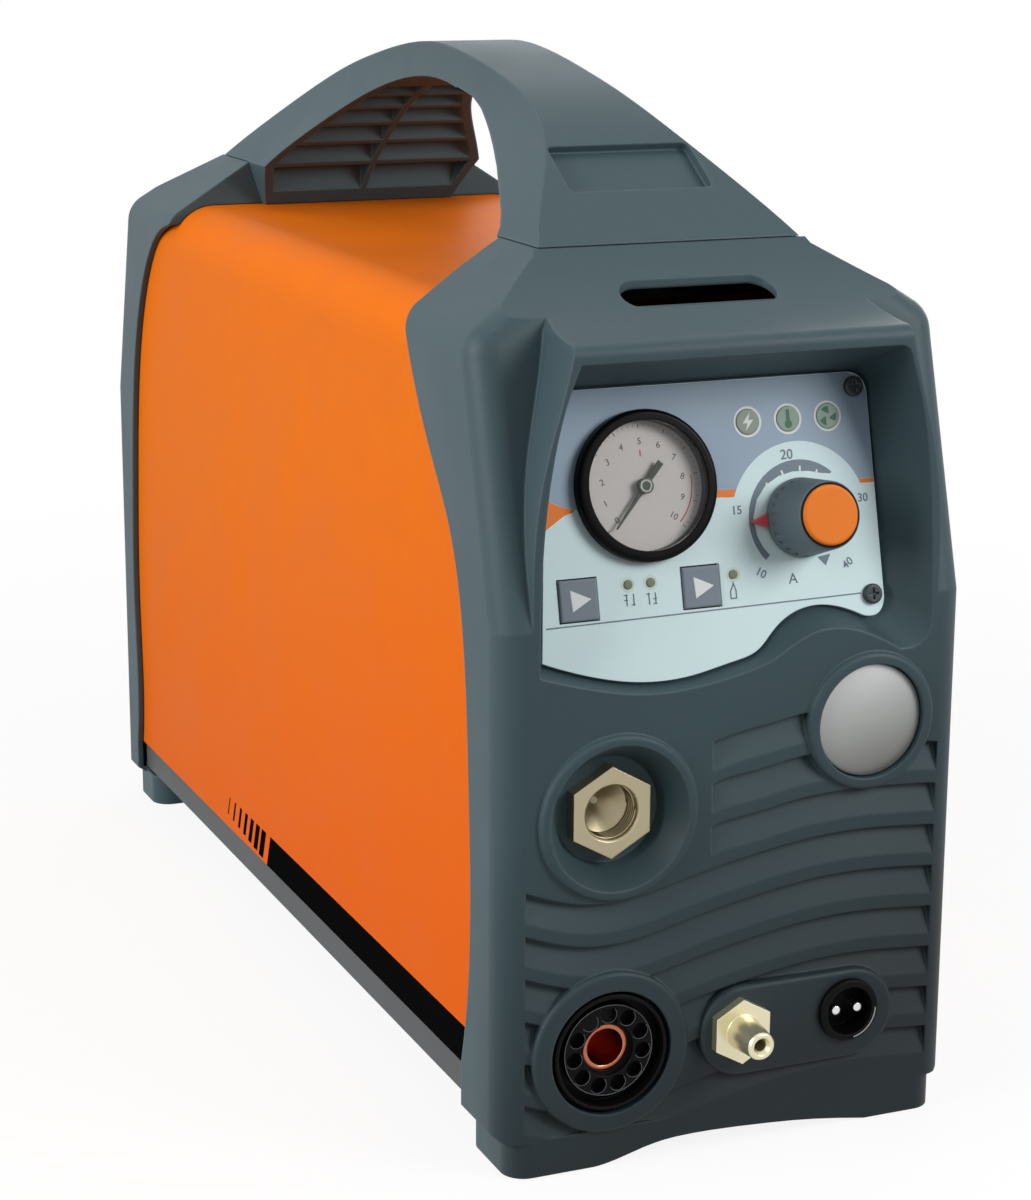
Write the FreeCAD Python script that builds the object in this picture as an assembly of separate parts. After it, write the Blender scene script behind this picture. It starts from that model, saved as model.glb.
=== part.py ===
import FreeCAD, Part
import math
import os
from FreeCAD import Placement, Rotation, Vector

os.makedirs("parts", exist_ok=True)

# A portable plasma cutter, in millimetres.  X is to the right seen from the
# front, Z is up from the floor, and a depth is measured back from the front face.

# Case
CASE_WIDTH = 168.0
HALF = CASE_WIDTH / 2
CASE_DEPTH = 455.0
SEAM_HEIGHT = 296.8
COVER_HEIGHT = SEAM_HEIGHT - 17.6
SKIRT_HEIGHT = 12.0
FOOT_INSET = 4.0
FOOT_CORNER = 8.0
FOOT_LENGTH = 36.0
FOOT_PAD = 28.0
FOOT_WALL = 3.0
SCREW_INSET = 39.0
SHEET = 1.2
FIT = 0.3

# Bezels
BEZEL_WALL = 2.5
FACE_WALL = 6.0
TOP_WALL = 3.2
LEDGE_HEIGHT = 2.4
SKIRT_EDGE = (3.6, 2.4)
RETURN = 3.0
SEAM_HALF = 47.7
SEAM_DEPTH = 57.0
SHOULDER_HEIGHT = SEAM_HEIGHT - 23.1
SHOULDER_RADIUS = 12.0
CORNER_RADIUS = 9.5
BEZEL_DEPTH = 90.0
BEZEL_EDGE_TOP = [(90, 9.6), (86, 20.6), (79.5, 35.6), (60.4, 64.6), (42.8, 87.6), (32, 118.6)]
BEZEL_EDGE_LOW = [(27, 131), (26.2, 65), (33, 30)]
LEAN_START = SEAM_HEIGHT - 112.1
LEAN_ANGLE = 16.2
HOOD_HEIGHT = SEAM_HEIGHT - 22.6
HOOD_ROUND = 4.0
HOOD_HALF = 73.0
RECESS_TOP = HOOD_HEIGHT - 5.8
SLOT_LENGTH = 55.6
SLOT_ENDS = (28.9, 43.3)
SLOT_SHELF = 5.1

# Control panel
PANEL_TILT = 14.0
PANEL_DEPTH = 4.0
PANEL_HEIGHT = SEAM_HEIGHT - 139.6
PLATE = 2.0
PANEL_BACK = 2.5
PLATE_TOP = 101.0
PLATE_RIGHT = 58.2

# Gauge, knob, keys and lamps on the panel: across, up
GAUGE_AT = (-25.9, 68.9)
GAUGE_RADIUS = 24.6
GAUGE_DIAL = 21.0
GAUGE_PROUD = 4.5
GAUGE_LENGTH = 26.0
NEEDLE_ANGLE = 229.5
NEEDLE_LENGTH = 17.2
KNOB_AT = (29.7, 54.3)
KNOB_RADIUS = 13.2
KNOB_HEIGHT = 20.0
KNOB_RIBS = 24
CAP_RADIUS = 9.9
SHAFT_RADIUS = 3.0
SHAFT_FIT = 0.05
KEY_SIZE = 13.3
KEY_TRAVEL = 1.2
KEY_STEM = 1.7
KEY_AT = {"mode_key": (-52.3, 34.4), "air_test_key": (-8.7, 34.9)}
LAMP_AT = ((13.1, 86.9), (27.9, 86.9), (42.7, 86.9))
LAMP_RADIUS = 4.3
PILOT_LAMP_AT = ((-34.5, 37.9), (-26.5, 37.9), (3.1, 37.9))
PILOT_LAMP_RADIUS = 1.5
PANEL_SCREW_AT = ((53.0, 96.0), (53.6, 27.0))
PANEL_SCREW_RADIUS = 3.4
BOARD_GAP = 10.0
BOARD = 1.6

# Lower front fittings: across, height
OUTLET_AT = (41.3 - HALF, 120.6)
OUTLET_FLATS = 27.1
OUTLET_FACE = 5.0
OUTLET_SEAT = 10.0
OUTLET_BORE = 9.3
OUTLET_THREAD = 10.5
OUTLET_RING = 28.0
OUTLET_WELL = (24.7, 18.0)
EARTH_AT = (39.3 - HALF, 40.3)
EARTH_RING = 28.0
EARTH_RADIUS = 20.3
EARTH_INSERT = 15.9
EARTH_BORE = 6.5
EARTH_POCKETS = 11
EARTH_POCKET_CIRCLE = 12.4
EARTH_SLEEVE = 3.8
PILOT_AT = (1.6, 41.8)
PILOT_FLATS = 19.7
PILOT_TUBE = 4.6
PILOT_BORE = 2.0
PILOT_BARREL = 6.5
PILOT_REACH = 19.0
TRIGGER_AT = (HALF - 41.3, 42.4)
TRIGGER_RADIUS = 11.0
TRIGGER_PIN = 1.5
LOWER_RING = 15.9
LOWER_ENDS = (3.6, HALF - 39.4)
LOWER_HEIGHT = 40.5
BADGE_AT = (HALF - 35.5, 143.2)
BADGE_RADIUS = 19.2
BADGE_RING = 23.5
BADGE_RISE = 2.3
RING_PROUD = 2.0
WELL_DEPTH = 6.0

# Louvre relief of the lower front
LOUVRE_PITCH = 14.6
LOUVRE_BASE = 30.5
LOUVRE_DEPTH = 3.2
LOUVRE_LEFT = -75.0
LOUVRE_RIGHT = 75.0

# Outline of the arch under each foot, long on the right
FOOT_ARCH = [(-50, 0), (-40.5, 1.6), (-33, 3.6), (-25.5, 5.1), (-18, 5.7), (-3, 5.6), (12, 4.8), (27, 3.6),
             (43, 1.5), (52, 0)]

# Handle
HANDLE_TOP = SEAM_HEIGHT + 56.4
GRIP_HALF = 17.5
GRIP_THICK = 13.0
LEG_HALF = 42.0
POCKET_HALF = 26.5
POCKET_DEPTH = 3.0
POCKET_AT = (90.3, 34.8)
POCKET_SLOPE = 32.4
RIB = 2.4
RIB_COUNT = 6
HANDLE_WALL = 4.0

# Rear
REAR_PANEL_INSET = 13.0
REAR_BROW = 24.0
REAR_LEAN_START = SEAM_HEIGHT - 105.6
REAR_EDGE = [(21, 26), (24, 47), (22, 94), (25, 151), (36, 213), (71, 264), (90, 272)]
WINDOW_HALF = 62.0
WINDOW_HEIGHTS = (30.0, 184.0)
REAR_REACH = 19.0
FAN_SIZE = 92.0
FAN_THICK = 25.0
FAN_HEIGHT = 84.0
FAN_BORE = 43.5
FAN_BLADES = 7
FAN_HUB = 17.0
GUARD_WIRE = 1.0
GUARD_PROUD = 3.0
SWITCH_AT = (-40.0, 161.0)
SWITCH_SWING = 16.0
SWITCH_RADIUS = 13.0
SWITCH_WIDTH = 19.0
GLAND_AT = (40.0, 161.0)
GLAND_FLATS = 24.0
GLAND_BORE = 5.0
INLET_AT = (0.0, 161.0)
INLET_RADIUS = 4.5
INLET_BORE = 2.5

# Tray and insides
TRAY_RIM = 36.0
COVER_EDGE = 26.8
COVER_RADIUS = 18.0
HEATSINK_BOTTOM = 36.0
HEATSINK_HEIGHT = 52.0
HEATSINK_GAP = 8.0
HEATSINK_FROM = 190.0
HEATSINK_TO = CASE_DEPTH - 60.0
POWER_BOARD_HEIGHT = 108.0

# What follows from those sizes
LEDGE_TOP = SKIRT_HEIGHT + LEDGE_HEIGHT
TRAY_HEIGHT = LEDGE_TOP + FIT
TRAY_FLOOR = TRAY_HEIGHT + SHEET
REAR_PANEL_DEPTH = CASE_DEPTH - REAR_PANEL_INSET
MID_DEPTH = (CASE_DEPTH + REAR_REACH - PILOT_REACH) / 2
COVER_HALF = HALF - BEZEL_WALL - FIT
COVER_IN = COVER_HALF - SHEET
HEATSINK_OUT = COVER_IN - 10.0
HEATSINK_RUN = HEATSINK_TO - HEATSINK_FROM
LEAN = math.tan(math.radians(LEAN_ANGLE))
TILT = math.radians(PANEL_TILT)
SHOULDER_SLOPE = (SEAM_HEIGHT - SHOULDER_HEIGHT) / (HALF - SEAM_HALF)
FLOOR_DOWN = -PLATE
BACK_DOWN = FLOOR_DOWN - PANEL_BACK
BOARD_TOP = BACK_DOWN - BOARD_GAP
X = Vector(1, 0, 0)
Y = Vector(0, 1, 0)
Z = Vector(0, 0, 1)


def at(depth):
    """Y of a depth behind the front face."""
    return depth - MID_DEPTH


def side(depth, height):
    """A point of a side outline."""
    return Vector(0, at(depth), height)


def front(x, height):
    """A point of a front outline, in the front plane."""
    return Vector(x, at(0), height)


def flat(x, up):
    """A point of an outline drawn on the level sketch plane."""
    return Vector(x, up, 0)


def save(name, shape):
    """Write one piece to its STEP file."""
    shape.exportStep("parts/" + name + ".step")


def wire(runs, place):
    """A closed outline of runs of points: two points are a line, more a smooth curve."""
    edges = []
    for run in runs:
        points = [place(*point) for point in run]
        if len(points) == 2:
            edges.append(Part.makeLine(points[0], points[1]))
            continue
        curve = Part.BSplineCurve()
        curve.interpolate(points)
        edges.append(curve.toShape())
    return Part.Wire(edges)


def face(runs, place):
    return Part.Face(wire(runs, place))


def polygon(points, place):
    """A face with straight sides."""
    corners = [place(*point) for point in points]
    return Part.Face(Part.makePolygon(corners + corners[:1]))


def across(outline, half_width):
    """A side outline made solid to both sides of the middle."""
    outline.translate(Vector(-half_width, 0, 0))
    return outline.extrude(Vector(2 * half_width, 0, 0))


def back(outline, start, end):
    """A front outline made solid between two depths."""
    outline.translate(Vector(0, start, 0))
    return outline.extrude(Vector(0, end - start, 0))


def box(x0, x1, d0, d1, z0, z1):
    return Part.makeBox(x1 - x0, d1 - d0, z1 - z0, Vector(x0, at(d0), z0))


def rod(radius, spot, d0, d1):
    """A cylinder along the depth at a spot (across, height)."""
    return Part.makeCylinder(radius, d1 - d0, Vector(spot[0], at(d0), spot[1]), Y)


def post(radius, x, depth, z0, z1):
    return Part.makeCylinder(radius, z1 - z0, Vector(x, at(depth), z0))


def hexagon(flats, spot, d0, d1):
    """A hexagon bar along the depth, one point up."""
    corner = flats / math.sqrt(3)
    points = [(spot[0] + corner * math.sin(math.radians(60 * i)),
               spot[1] + corner * math.cos(math.radians(60 * i))) for i in range(6)]
    return back(polygon(points, front), d0, d1)


def join(shapes):
    """One solid from touching shapes."""
    whole = shapes[0]
    for shape in shapes[1:]:
        whole = whole.fuse(shape)
    return whole.removeSplitter()


def cut(shape, tools):
    for tool in tools:
        shape = shape.cut(tool)
    return shape


def group(shapes):
    """Separate solids kept in one piece file."""
    return Part.makeCompound(shapes)


def rounded(shape, radius, chosen):
    """Round the edges whose middle point passes the test."""
    edges = [edge for edge in shape.Edges if chosen(edge.CenterOfMass, edge)]
    return shape.makeFillet(radius, edges)


def on_panel(shape):
    """Carry a piece drawn level (across, up, out) to the tilted control panel."""
    shape.Placement = Placement(Vector(0, at(PANEL_DEPTH), PANEL_HEIGHT), Rotation(X, 90 - PANEL_TILT))
    return shape


def panel_rod(radius, spot, out0, out1):
    """A level sketch cylinder standing on the panel."""
    return Part.makeCylinder(radius, out1 - out0, Vector(spot[0], spot[1], out0))


def panel_block(spot, width, height, out0, out1):
    corner = Vector(spot[0] - width / 2, spot[1] - height / 2, out0)
    return Part.makeBox(width, height, out1 - out0, corner)


def bezel_front_view(inset):
    """The bezel seen from the front, drawn in by an inset: sides, sloping shoulders, flat top."""
    half = HALF - inset
    reach = math.hypot(1, SHOULDER_SLOPE)
    top = SEAM_HEIGHT - inset
    shoulder = SHOULDER_HEIGHT - inset * reach + SHOULDER_SLOPE * inset
    seam = half - (top - shoulder) / SHOULDER_SLOPE
    points = [(-half, 0), (half, 0), (half, shoulder), (seam, top), (-seam, top), (-half, shoulder)]
    solid = back(polygon(points, front), -10, CASE_DEPTH + 10)
    return rounded(solid, SHOULDER_RADIUS - inset,
                   lambda middle, edge: abs(abs(middle.x) - half) < 0.01 and middle.z > shoulder - 1)


def shouldered(body):
    """A bezel's body with its sloping shoulders cut and rounded, and its skirt's edges sloped."""
    reach = 6.0
    drop = reach * SHOULDER_SLOPE
    points = [(SEAM_HALF - reach, SEAM_HEIGHT + drop), (HALF + reach, SHOULDER_HEIGHT - drop),
              (HALF + reach, SEAM_HEIGHT + 2 * drop)]
    right = back(polygon(points, front), -10, CASE_DEPTH + 10)
    width, rise = SKIRT_EDGE
    low = polygon([(HALF - width, SKIRT_HEIGHT), (HALF, SKIRT_HEIGHT + rise), (HALF + 1, SKIRT_HEIGHT + rise),
                   (HALF + 1, SKIRT_HEIGHT - 1), (HALF - width, SKIRT_HEIGHT - 1)], front)
    edge_tool = back(low, -10, CASE_DEPTH + 10)
    tools = [right, edge_tool]
    body = cut(body, tools + [tool.mirror(Vector(0, 0, 0), X) for tool in tools])
    return rounded(body, SHOULDER_RADIUS, lambda middle, edge: abs(abs(middle.x) - HALF) < 0.01
                   and abs(middle.z - SHOULDER_HEIGHT) < 0.05)


def strip_height(depth):
    """Height of the sloping top strip of the front bezel."""
    rise = SEAM_HEIGHT - HOOD_HEIGHT
    share = depth / SEAM_DEPTH
    return HOOD_HEIGHT + rise * share * share


def lean_depth(height):
    """Depth of the shoulders' leaning face."""
    return (height - LEAN_START) * LEAN


def strip_run(start):
    """Points of the top strip from a depth back to the seam."""
    count = 5
    depths = [start + (SEAM_DEPTH - start) * i / (count - 1) for i in range(count)]
    return [(depth, strip_height(depth)) for depth in depths]


def bezel_back_runs():
    """Rear edge of the front bezel, from the seam down to the skirt."""
    curve = [(depth, SEAM_HEIGHT - drop) for depth, drop in BEZEL_EDGE_TOP] + BEZEL_EDGE_LOW
    low = curve[-1][0]
    return [[(SEAM_DEPTH, SEAM_HEIGHT), (BEZEL_DEPTH, SEAM_HEIGHT)],
            [(BEZEL_DEPTH, SEAM_HEIGHT), curve[0]], curve, [curve[-1], (low, SKIRT_HEIGHT)],
            [(low, SKIRT_HEIGHT), (0, SKIRT_HEIGHT)]]


def foot(d0, d1):
    """A cross foot with rounded corners and an arched middle, hollow between its two pads."""
    half = HALF - FOOT_INSET
    inner = half - FOOT_PAD
    body = box(-half, half, d0, d1, 0, SKIRT_HEIGHT + 1)
    body = rounded(body, FOOT_CORNER, lambda middle, edge: abs(abs(middle.x) - half) < 0.01
                   and abs(middle.z - (SKIRT_HEIGHT + 1) / 2) < 0.01)
    arch = face([FOOT_ARCH, [FOOT_ARCH[-1], FOOT_ARCH[0]]], front)
    hollow = box(-inner, inner, d0 + FOOT_WALL, d1 - FOOT_WALL, 0, SKIRT_HEIGHT)
    return cut(body, [back(arch, d0 - 1, d1 + 1), hollow])


def shoulder_block():
    """The bezel's main body, whose upper face leans back."""
    lean_top = HOOD_HEIGHT + 4.0
    meet = lean_depth(lean_top)
    runs = [[(0, SKIRT_HEIGHT), (0, LEAN_START)], [(0, LEAN_START), (meet, strip_height(meet))],
            strip_run(meet)] + bezel_back_runs()
    block = shouldered(across(face(runs, side), HALF))
    return rounded(block, CORNER_RADIUS, lambda middle, edge: abs(abs(middle.x) - HALF) < 0.01
                   and middle.y < at(meet) and SKIRT_HEIGHT + 5 < middle.z < SHOULDER_HEIGHT - 8)


def hood_block():
    """The upright hood round the control panel, standing forward of the shoulders."""
    low = LEAN_START - 17.5
    runs = [[(0, low), (0, HOOD_HEIGHT)], strip_run(0), [(SEAM_DEPTH, SEAM_HEIGHT), (SEAM_DEPTH, low)],
            [(SEAM_DEPTH, low), (0, low)]]
    draws = [(0, 72), (1, 56), (3.7, 39), (8.5, 21), (13.8, -1)]
    right = [(HOOD_HALF - draw, HOOD_HEIGHT - drop) for draw, drop in draws]
    left = [(-x, z) for x, z in reversed(right)]
    top = SEAM_HEIGHT + 5
    outline = face([[(-HOOD_HALF, low), (HOOD_HALF, low)], [(HOOD_HALF, low), right[0]], right,
                    [right[-1], (SEAM_HALF, top)], [(SEAM_HALF, top), (-SEAM_HALF, top)],
                    [(-SEAM_HALF, top), left[0]], left, [left[-1], (-HOOD_HALF, low)]], front)
    block = across(face(runs, side), HOOD_HALF).common(back(outline, -1, SEAM_DEPTH))
    return rounded(block, HOOD_ROUND, lambda middle, edge: middle.y < at(0.01)
                   and middle.z > HOOD_HEIGHT - 0.01)


def panel_point(x, up, out=0.0):
    """A point given on the tilted panel."""
    level = Vector(x, up, out)
    return Placement(Vector(0, at(PANEL_DEPTH), PANEL_HEIGHT), Rotation(X, 90 - PANEL_TILT)).multVec(level)


# The plate's lower edge: a long wave from the left corner, up over the badge's ring
PLATE_WAVE = [(-66.5, 15.5), (-48, 9.2), (-29.8, 6.1), (-14, 6.8), (0, 9.6), (9.8, 12.6), (16, 18.4),
              (24, 23.6), (34, 25.2), (43, 23.3), (50, 20.2)]


def plate_runs(grow):
    """Outline of the panel plate, grown by a margin: wave, right corner, side, top, left side."""
    right = PLATE_RIGHT + grow
    top = PLATE_TOP + grow
    wave = [(x, up - grow) for x, up in PLATE_WAVE]
    wave[0] = (wave[0][0] - grow, wave[0][1])
    left_top = -57.5 - grow
    return [wave,
            [wave[-1], (55.6, 20.6 - grow), (right, 26)],
            [(right, 26), (right, top - 7)],
            [(right, top - 7), (right - 2, top - 2), (right - 7, top)],
            [(right - 7, top), (left_top, top)],
            [(left_top, top), wave[0]]]


def recess_tool():
    """The drafted pocket of the control panel, from the hood's rim down to its sloping floor."""
    top = RECESS_TOP - PANEL_HEIGHT
    rim = [[(-70.6, 12.5), (-50, 6.5), (-31, 3.5), (-15, 4.2), (1, 7), (12, 10.5), (20, 15),
            (29, 18.5), (38, 18.5), (50, 14.5), (60, 9)],
           [(60, 9), (68, 10.5), (71.3, 20)],
           [(71.3, 20), (70.3, 44), (67.7, 74), (60, top - 5.2)],
           [(60, top - 5.2), (58.6, top - 1.6), (55.5, top)],
           [(55.5, top), (-57.5, top)],
           [(-57.5, top), (-62.5, top - 13.2), (-67.7, 74), (-70.3, 44), (-70.6, 12.5)]]
    floor = plate_runs(0.6)
    right = PLATE_RIGHT + 0.6
    left_top = -58.1
    floor[2] = [(right, 26), (right, 45), (right, 70), (right, PLATE_TOP - 6.4)]
    foot_left = floor[0][0]
    floor[5] = [(left_top, PLATE_TOP + 0.6), (-59.6, 87), (-62.1, 64), (-64.8, 38), foot_left]
    mouth = wire(rim, lambda x, rise: Vector(x, at(-0.5), PANEL_HEIGHT + rise))
    bottom = wire(floor, lambda x, up: panel_point(x, up, FLOOR_DOWN))
    return Part.makeLoft([mouth, bottom], True, True)


def louvre_wave(x):
    """How far a louvre's line lies above or below its right end."""
    points = [(-75, -4.5), (-60, -10.2), (-45, -12.0), (-30, -10.0), (-12, -5.4), (7, -1.7), (25, 1.0),
              (42, 2.1), (58, 1.6), (75, 0.0)]
    for (x0, z0), (x1, z1) in zip(points, points[1:]):
        if x <= x1:
            break
    share = (x - x0) / (x1 - x0)
    smooth = share * share * (3 - 2 * share)
    return z0 + (z1 - z0) * (smooth + share) / 2


def louvre_tool(height, left, right):
    """The wedge under one louvre: deepest at its line, running out flush at the next."""
    count = 9
    sections = []
    for i in range(count):
        x = left + (right - left) * i / (count - 1)
        z = height + louvre_wave(x)
        low = z - LOUVRE_PITCH + 1.6
        corners = [Vector(x, at(-1.0), z + 0.4), Vector(x, at(LOUVRE_DEPTH), z - 0.8),
                   Vector(x, at(-1.0), low)]
        sections.append(Part.makePolygon(corners + corners[:1]))
    return Part.makeLoft(sections, True, False)


def boss(spot, radius):
    """A raised ring's body on the lower front."""
    disc = rod(radius, spot, -RING_PROUD, FACE_WALL + 4)
    return rounded(disc, 1.6, lambda middle, edge: middle.y < at(-RING_PROUD + 0.1))


def lower_ring():
    """The long raised boss shared by the gas fitting and the trigger socket."""
    back_at = FACE_WALL + 4
    left, right = LOWER_ENDS
    bridge = box(left, right, -RING_PROUD, back_at, LOWER_HEIGHT - LOWER_RING, LOWER_HEIGHT + LOWER_RING)
    whole = join([rod(LOWER_RING, (left, LOWER_HEIGHT), -RING_PROUD, back_at), bridge,
                  rod(LOWER_RING, (right, LOWER_HEIGHT), -RING_PROUD, back_at)])
    return rounded(whole, 1.6, lambda middle, edge: middle.y < at(-RING_PROUD + 0.1))


def outlet_cone(mouth, floor, d0, d1):
    """A cone about the torch outlet, narrowing backwards."""
    return Part.makeCone(mouth, floor, d1 - d0, Vector(OUTLET_AT[0], at(d0), OUTLET_AT[1]), Y)


def cover_room(d0, d1):
    """The space for the cover's end and its clearance, between two depths."""
    half = COVER_HALF + FIT
    top = COVER_HEIGHT + FIT
    room = box(-half, half, d0, d1, LEDGE_TOP, top)
    return rounded(room, COVER_RADIUS + FIT, lambda middle, edge: abs(abs(middle.x) - half) < 0.01
                   and abs(middle.z - top) < 0.01)


def front_cavity():
    """The hollow of the front bezel, behind its face, its leaning shoulders and the panel recess."""
    start = PANEL_DEPTH - BACK_DOWN / math.cos(TILT)
    low = PANEL_HEIGHT + (FACE_WALL - start) / math.tan(TILT)
    brow_height = RECESS_TOP + TOP_WALL
    high = RECESS_TOP - 9.0
    reach = start + (high - PANEL_HEIGHT) * math.tan(TILT)
    brow = lean_depth(brow_height) + TOP_WALL
    middle = (brow + SEAM_DEPTH) / 2
    end = BEZEL_DEPTH - RETURN
    points = [(FACE_WALL, LEDGE_TOP), (FACE_WALL, low), (reach, high), (reach, brow_height),
              (brow, brow_height), (brow, strip_height(brow) - TOP_WALL),
              (middle, strip_height(middle) - TOP_WALL),
              (SEAM_DEPTH, SEAM_HEIGHT - TOP_WALL), (end, SEAM_HEIGHT - TOP_WALL), (end, LEDGE_TOP)]
    hollow = across(polygon(points, side), HALF).common(bezel_front_view(BEZEL_WALL))
    return [hollow, cover_room(end - 1, BEZEL_DEPTH + 1)]


def slot_tools():
    """The round-ended vent slot through the top strip: a level shelf in front, open behind it."""
    near, far = SLOT_ENDS
    radius = (far - near) / 2
    reach = SLOT_LENGTH / 2 - radius
    middle = (near + far) / 2
    shelf = strip_height(near)

    def pill(bottom):
        ends = [post(radius, x, middle, bottom, SEAM_HEIGHT) for x in (-reach, reach)]
        return join([box(-reach, reach, near, far, bottom, SEAM_HEIGHT)] + ends)
    through = pill(RECESS_TOP).common(box(-HALF, HALF, near + SLOT_SHELF, far, 0, SEAM_HEIGHT))
    return [pill(shelf), through]


def front_bezel():
    """One grey moulding: skirt, face, leaning shoulders, hood, recess and the rings of the fittings."""
    body = join([shoulder_block(), hood_block()])
    body = cut(body, front_cavity() + [recess_tool()])
    lines = [(LOUVRE_BASE + LOUVRE_PITCH * i) for i in range(8)]
    for i, height in enumerate(lines):
        body = body.cut(louvre_tool(height, LOUVRE_LEFT if i < 6 else -9.0, LOUVRE_RIGHT))
    body = body.cut(louvre_tool(lines[-1] + LOUVRE_PITCH, -9.0, 26.0))
    mouth, floor = OUTLET_WELL
    rings = [boss(OUTLET_AT, OUTLET_RING), boss(EARTH_AT, EARTH_RING), boss(BADGE_AT, BADGE_RING),
             lower_ring(), outlet_cone(mouth + 2, floor + 3, FACE_WALL - 1, OUTLET_SEAT + 4)]
    body = join([body] + rings + [foot(0.0, FOOT_LENGTH)])
    holes = [outlet_cone(mouth, floor, -RING_PROUD - 0.1, OUTLET_SEAT),
             rod(OUTLET_THREAD + FIT, OUTLET_AT, -9, 30),
             rod(EARTH_RADIUS + 1.2, EARTH_AT, -9, WELL_DEPTH),
             rod(EARTH_BORE + 3.5 + FIT, EARTH_AT, -9, 30),
             rod(PILOT_BARREL + FIT, PILOT_AT, -9, 30),
             rod(TRIGGER_RADIUS - 1.5 + FIT, TRIGGER_AT, -9, 30),
             rod(BADGE_RADIUS + 0.5, BADGE_AT, -9, 2.0)] + slot_tools()
    body = cut(body, holes + panel_openings())
    return body


def panel_openings():
    """Openings in the recess floor behind the gauge, knob, keys, lamps and screws."""
    deep = BACK_DOWN - 3
    tools = [panel_rod(GAUGE_RADIUS - 2.4, GAUGE_AT, deep, 0),
             panel_rod(SHAFT_RADIUS + 1.6, KNOB_AT, deep, 0)]
    for spot in KEY_AT.values():
        tools.append(panel_block(spot, KEY_SIZE + 0.8, KEY_SIZE + 0.8, deep, 0))
    for spot in LAMP_AT:
        tools.append(panel_rod(LAMP_RADIUS - 0.8, spot, deep, 0))
    for spot in PILOT_LAMP_AT:
        tools.append(panel_rod(PILOT_LAMP_RADIUS + 0.2, spot, deep, 0))
    return [on_panel(tool) for tool in tools]


def rear_bezel():
    """One grey moulding round the rear panel, hollow and open to the cover."""
    end = CASE_DEPTH
    seam = end - SEAM_DEPTH + 3
    edge = [(end - d, z) for d, z in REAR_EDGE]
    runs = [[(edge[0][0], SKIRT_HEIGHT), edge[0]], edge, [edge[-1], (edge[-1][0], SEAM_HEIGHT)],
            [(edge[-1][0], SEAM_HEIGHT), (seam, SEAM_HEIGHT)],
            [(seam, SEAM_HEIGHT), (end - REAR_BROW, COVER_HEIGHT - 3)],
            [(end - REAR_BROW, COVER_HEIGHT - 3), (end, REAR_LEAN_START)],
            [(end, REAR_LEAN_START), (end, SKIRT_HEIGHT)],
            [(end, SKIRT_HEIGHT), (edge[0][0], SKIRT_HEIGHT)]]
    body = shouldered(across(face(runs, side), HALF))
    body = rounded(body, CORNER_RADIUS, lambda middle, edge: abs(abs(middle.x) - HALF) < 0.01
                   and middle.y > at(end - 19) and SKIRT_HEIGHT + 5 < middle.z < SHOULDER_HEIGHT - 8)
    inner = end - FACE_WALL
    start = end - BEZEL_DEPTH + RETURN
    hollow = [(start, LEDGE_TOP), (inner, LEDGE_TOP), (inner, REAR_LEAN_START - 1),
              (inner - REAR_BROW, COVER_HEIGHT - 3 - TOP_WALL), (seam - 2, SEAM_HEIGHT - TOP_WALL),
              (start, SEAM_HEIGHT - TOP_WALL)]
    body = body.cut(across(polygon(hollow, side), HALF).common(bezel_front_view(BEZEL_WALL)))
    body = body.cut(cover_room(start - RETURN - 1, start + 1))
    low, high = WINDOW_HEIGHTS
    window = box(-WINDOW_HALF, WINDOW_HALF, inner - 6, end + 2, low, high)
    window = rounded(window, 8, lambda middle, edge: abs(abs(middle.x) - WINDOW_HALF) < 0.01
                     and (abs(middle.z - low) < 0.01 or abs(middle.z - high) < 0.01))
    body = body.cut(window)
    return join([body, foot(end - FOOT_LENGTH - 1, end - 6)] + rear_bosses())


def cover():
    """The orange steel wrap: two sides and a top in one bent sheet."""
    def wrap(half, top, radius):
        block = box(-half, half, 0, CASE_DEPTH, COVER_EDGE, top)
        return rounded(block, radius, lambda middle, edge: abs(abs(middle.x) - half) < 0.01
                       and abs(middle.z - top) < 0.01)
    outer = wrap(COVER_HALF, COVER_HEIGHT, COVER_RADIUS)
    inner = wrap(COVER_IN, COVER_HEIGHT - SHEET, COVER_RADIUS - SHEET)
    shell = outer.cut(inner)
    shell = shell.cut(box(-COVER_IN, COVER_IN, -1, CASE_DEPTH + 1, COVER_EDGE - 1, COVER_EDGE + 1))
    end = CASE_DEPTH
    over = COVER_HEIGHT + 1
    bend = COVER_HEIGHT - COVER_RADIUS
    blank = polygon([(20, COVER_EDGE), (20, bend - 90), (45, bend - 30), (62, bend), (62, over),
                     (end - 40, over), (end - 32, bend), (end - 13.5, bend - 76), (end - 13.5, COVER_EDGE)], side)
    return shell.common(across(blank, HALF))


def base_tray():
    """The folded steel tray that everything inside stands on."""
    bottom = TRAY_HEIGHT
    d0 = FACE_WALL + 4 + FIT
    d1 = CASE_DEPTH - FACE_WALL - FIT
    outer = COVER_IN - FIT
    floor = box(-outer, outer, d0, d1, bottom, bottom + SHEET)
    sides = [box(outer - SHEET, outer, d0 + 10, d1 - 14, bottom, TRAY_RIM),
             box(-outer, -outer + SHEET, d0 + 10, d1 - 14, bottom, TRAY_RIM)]
    slots = [box(-30, 30, 150 + 12 * i, 154 + 12 * i, bottom - 1, bottom + 3) for i in range(10)]
    return cut(join([floor] + sides), slots)


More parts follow.
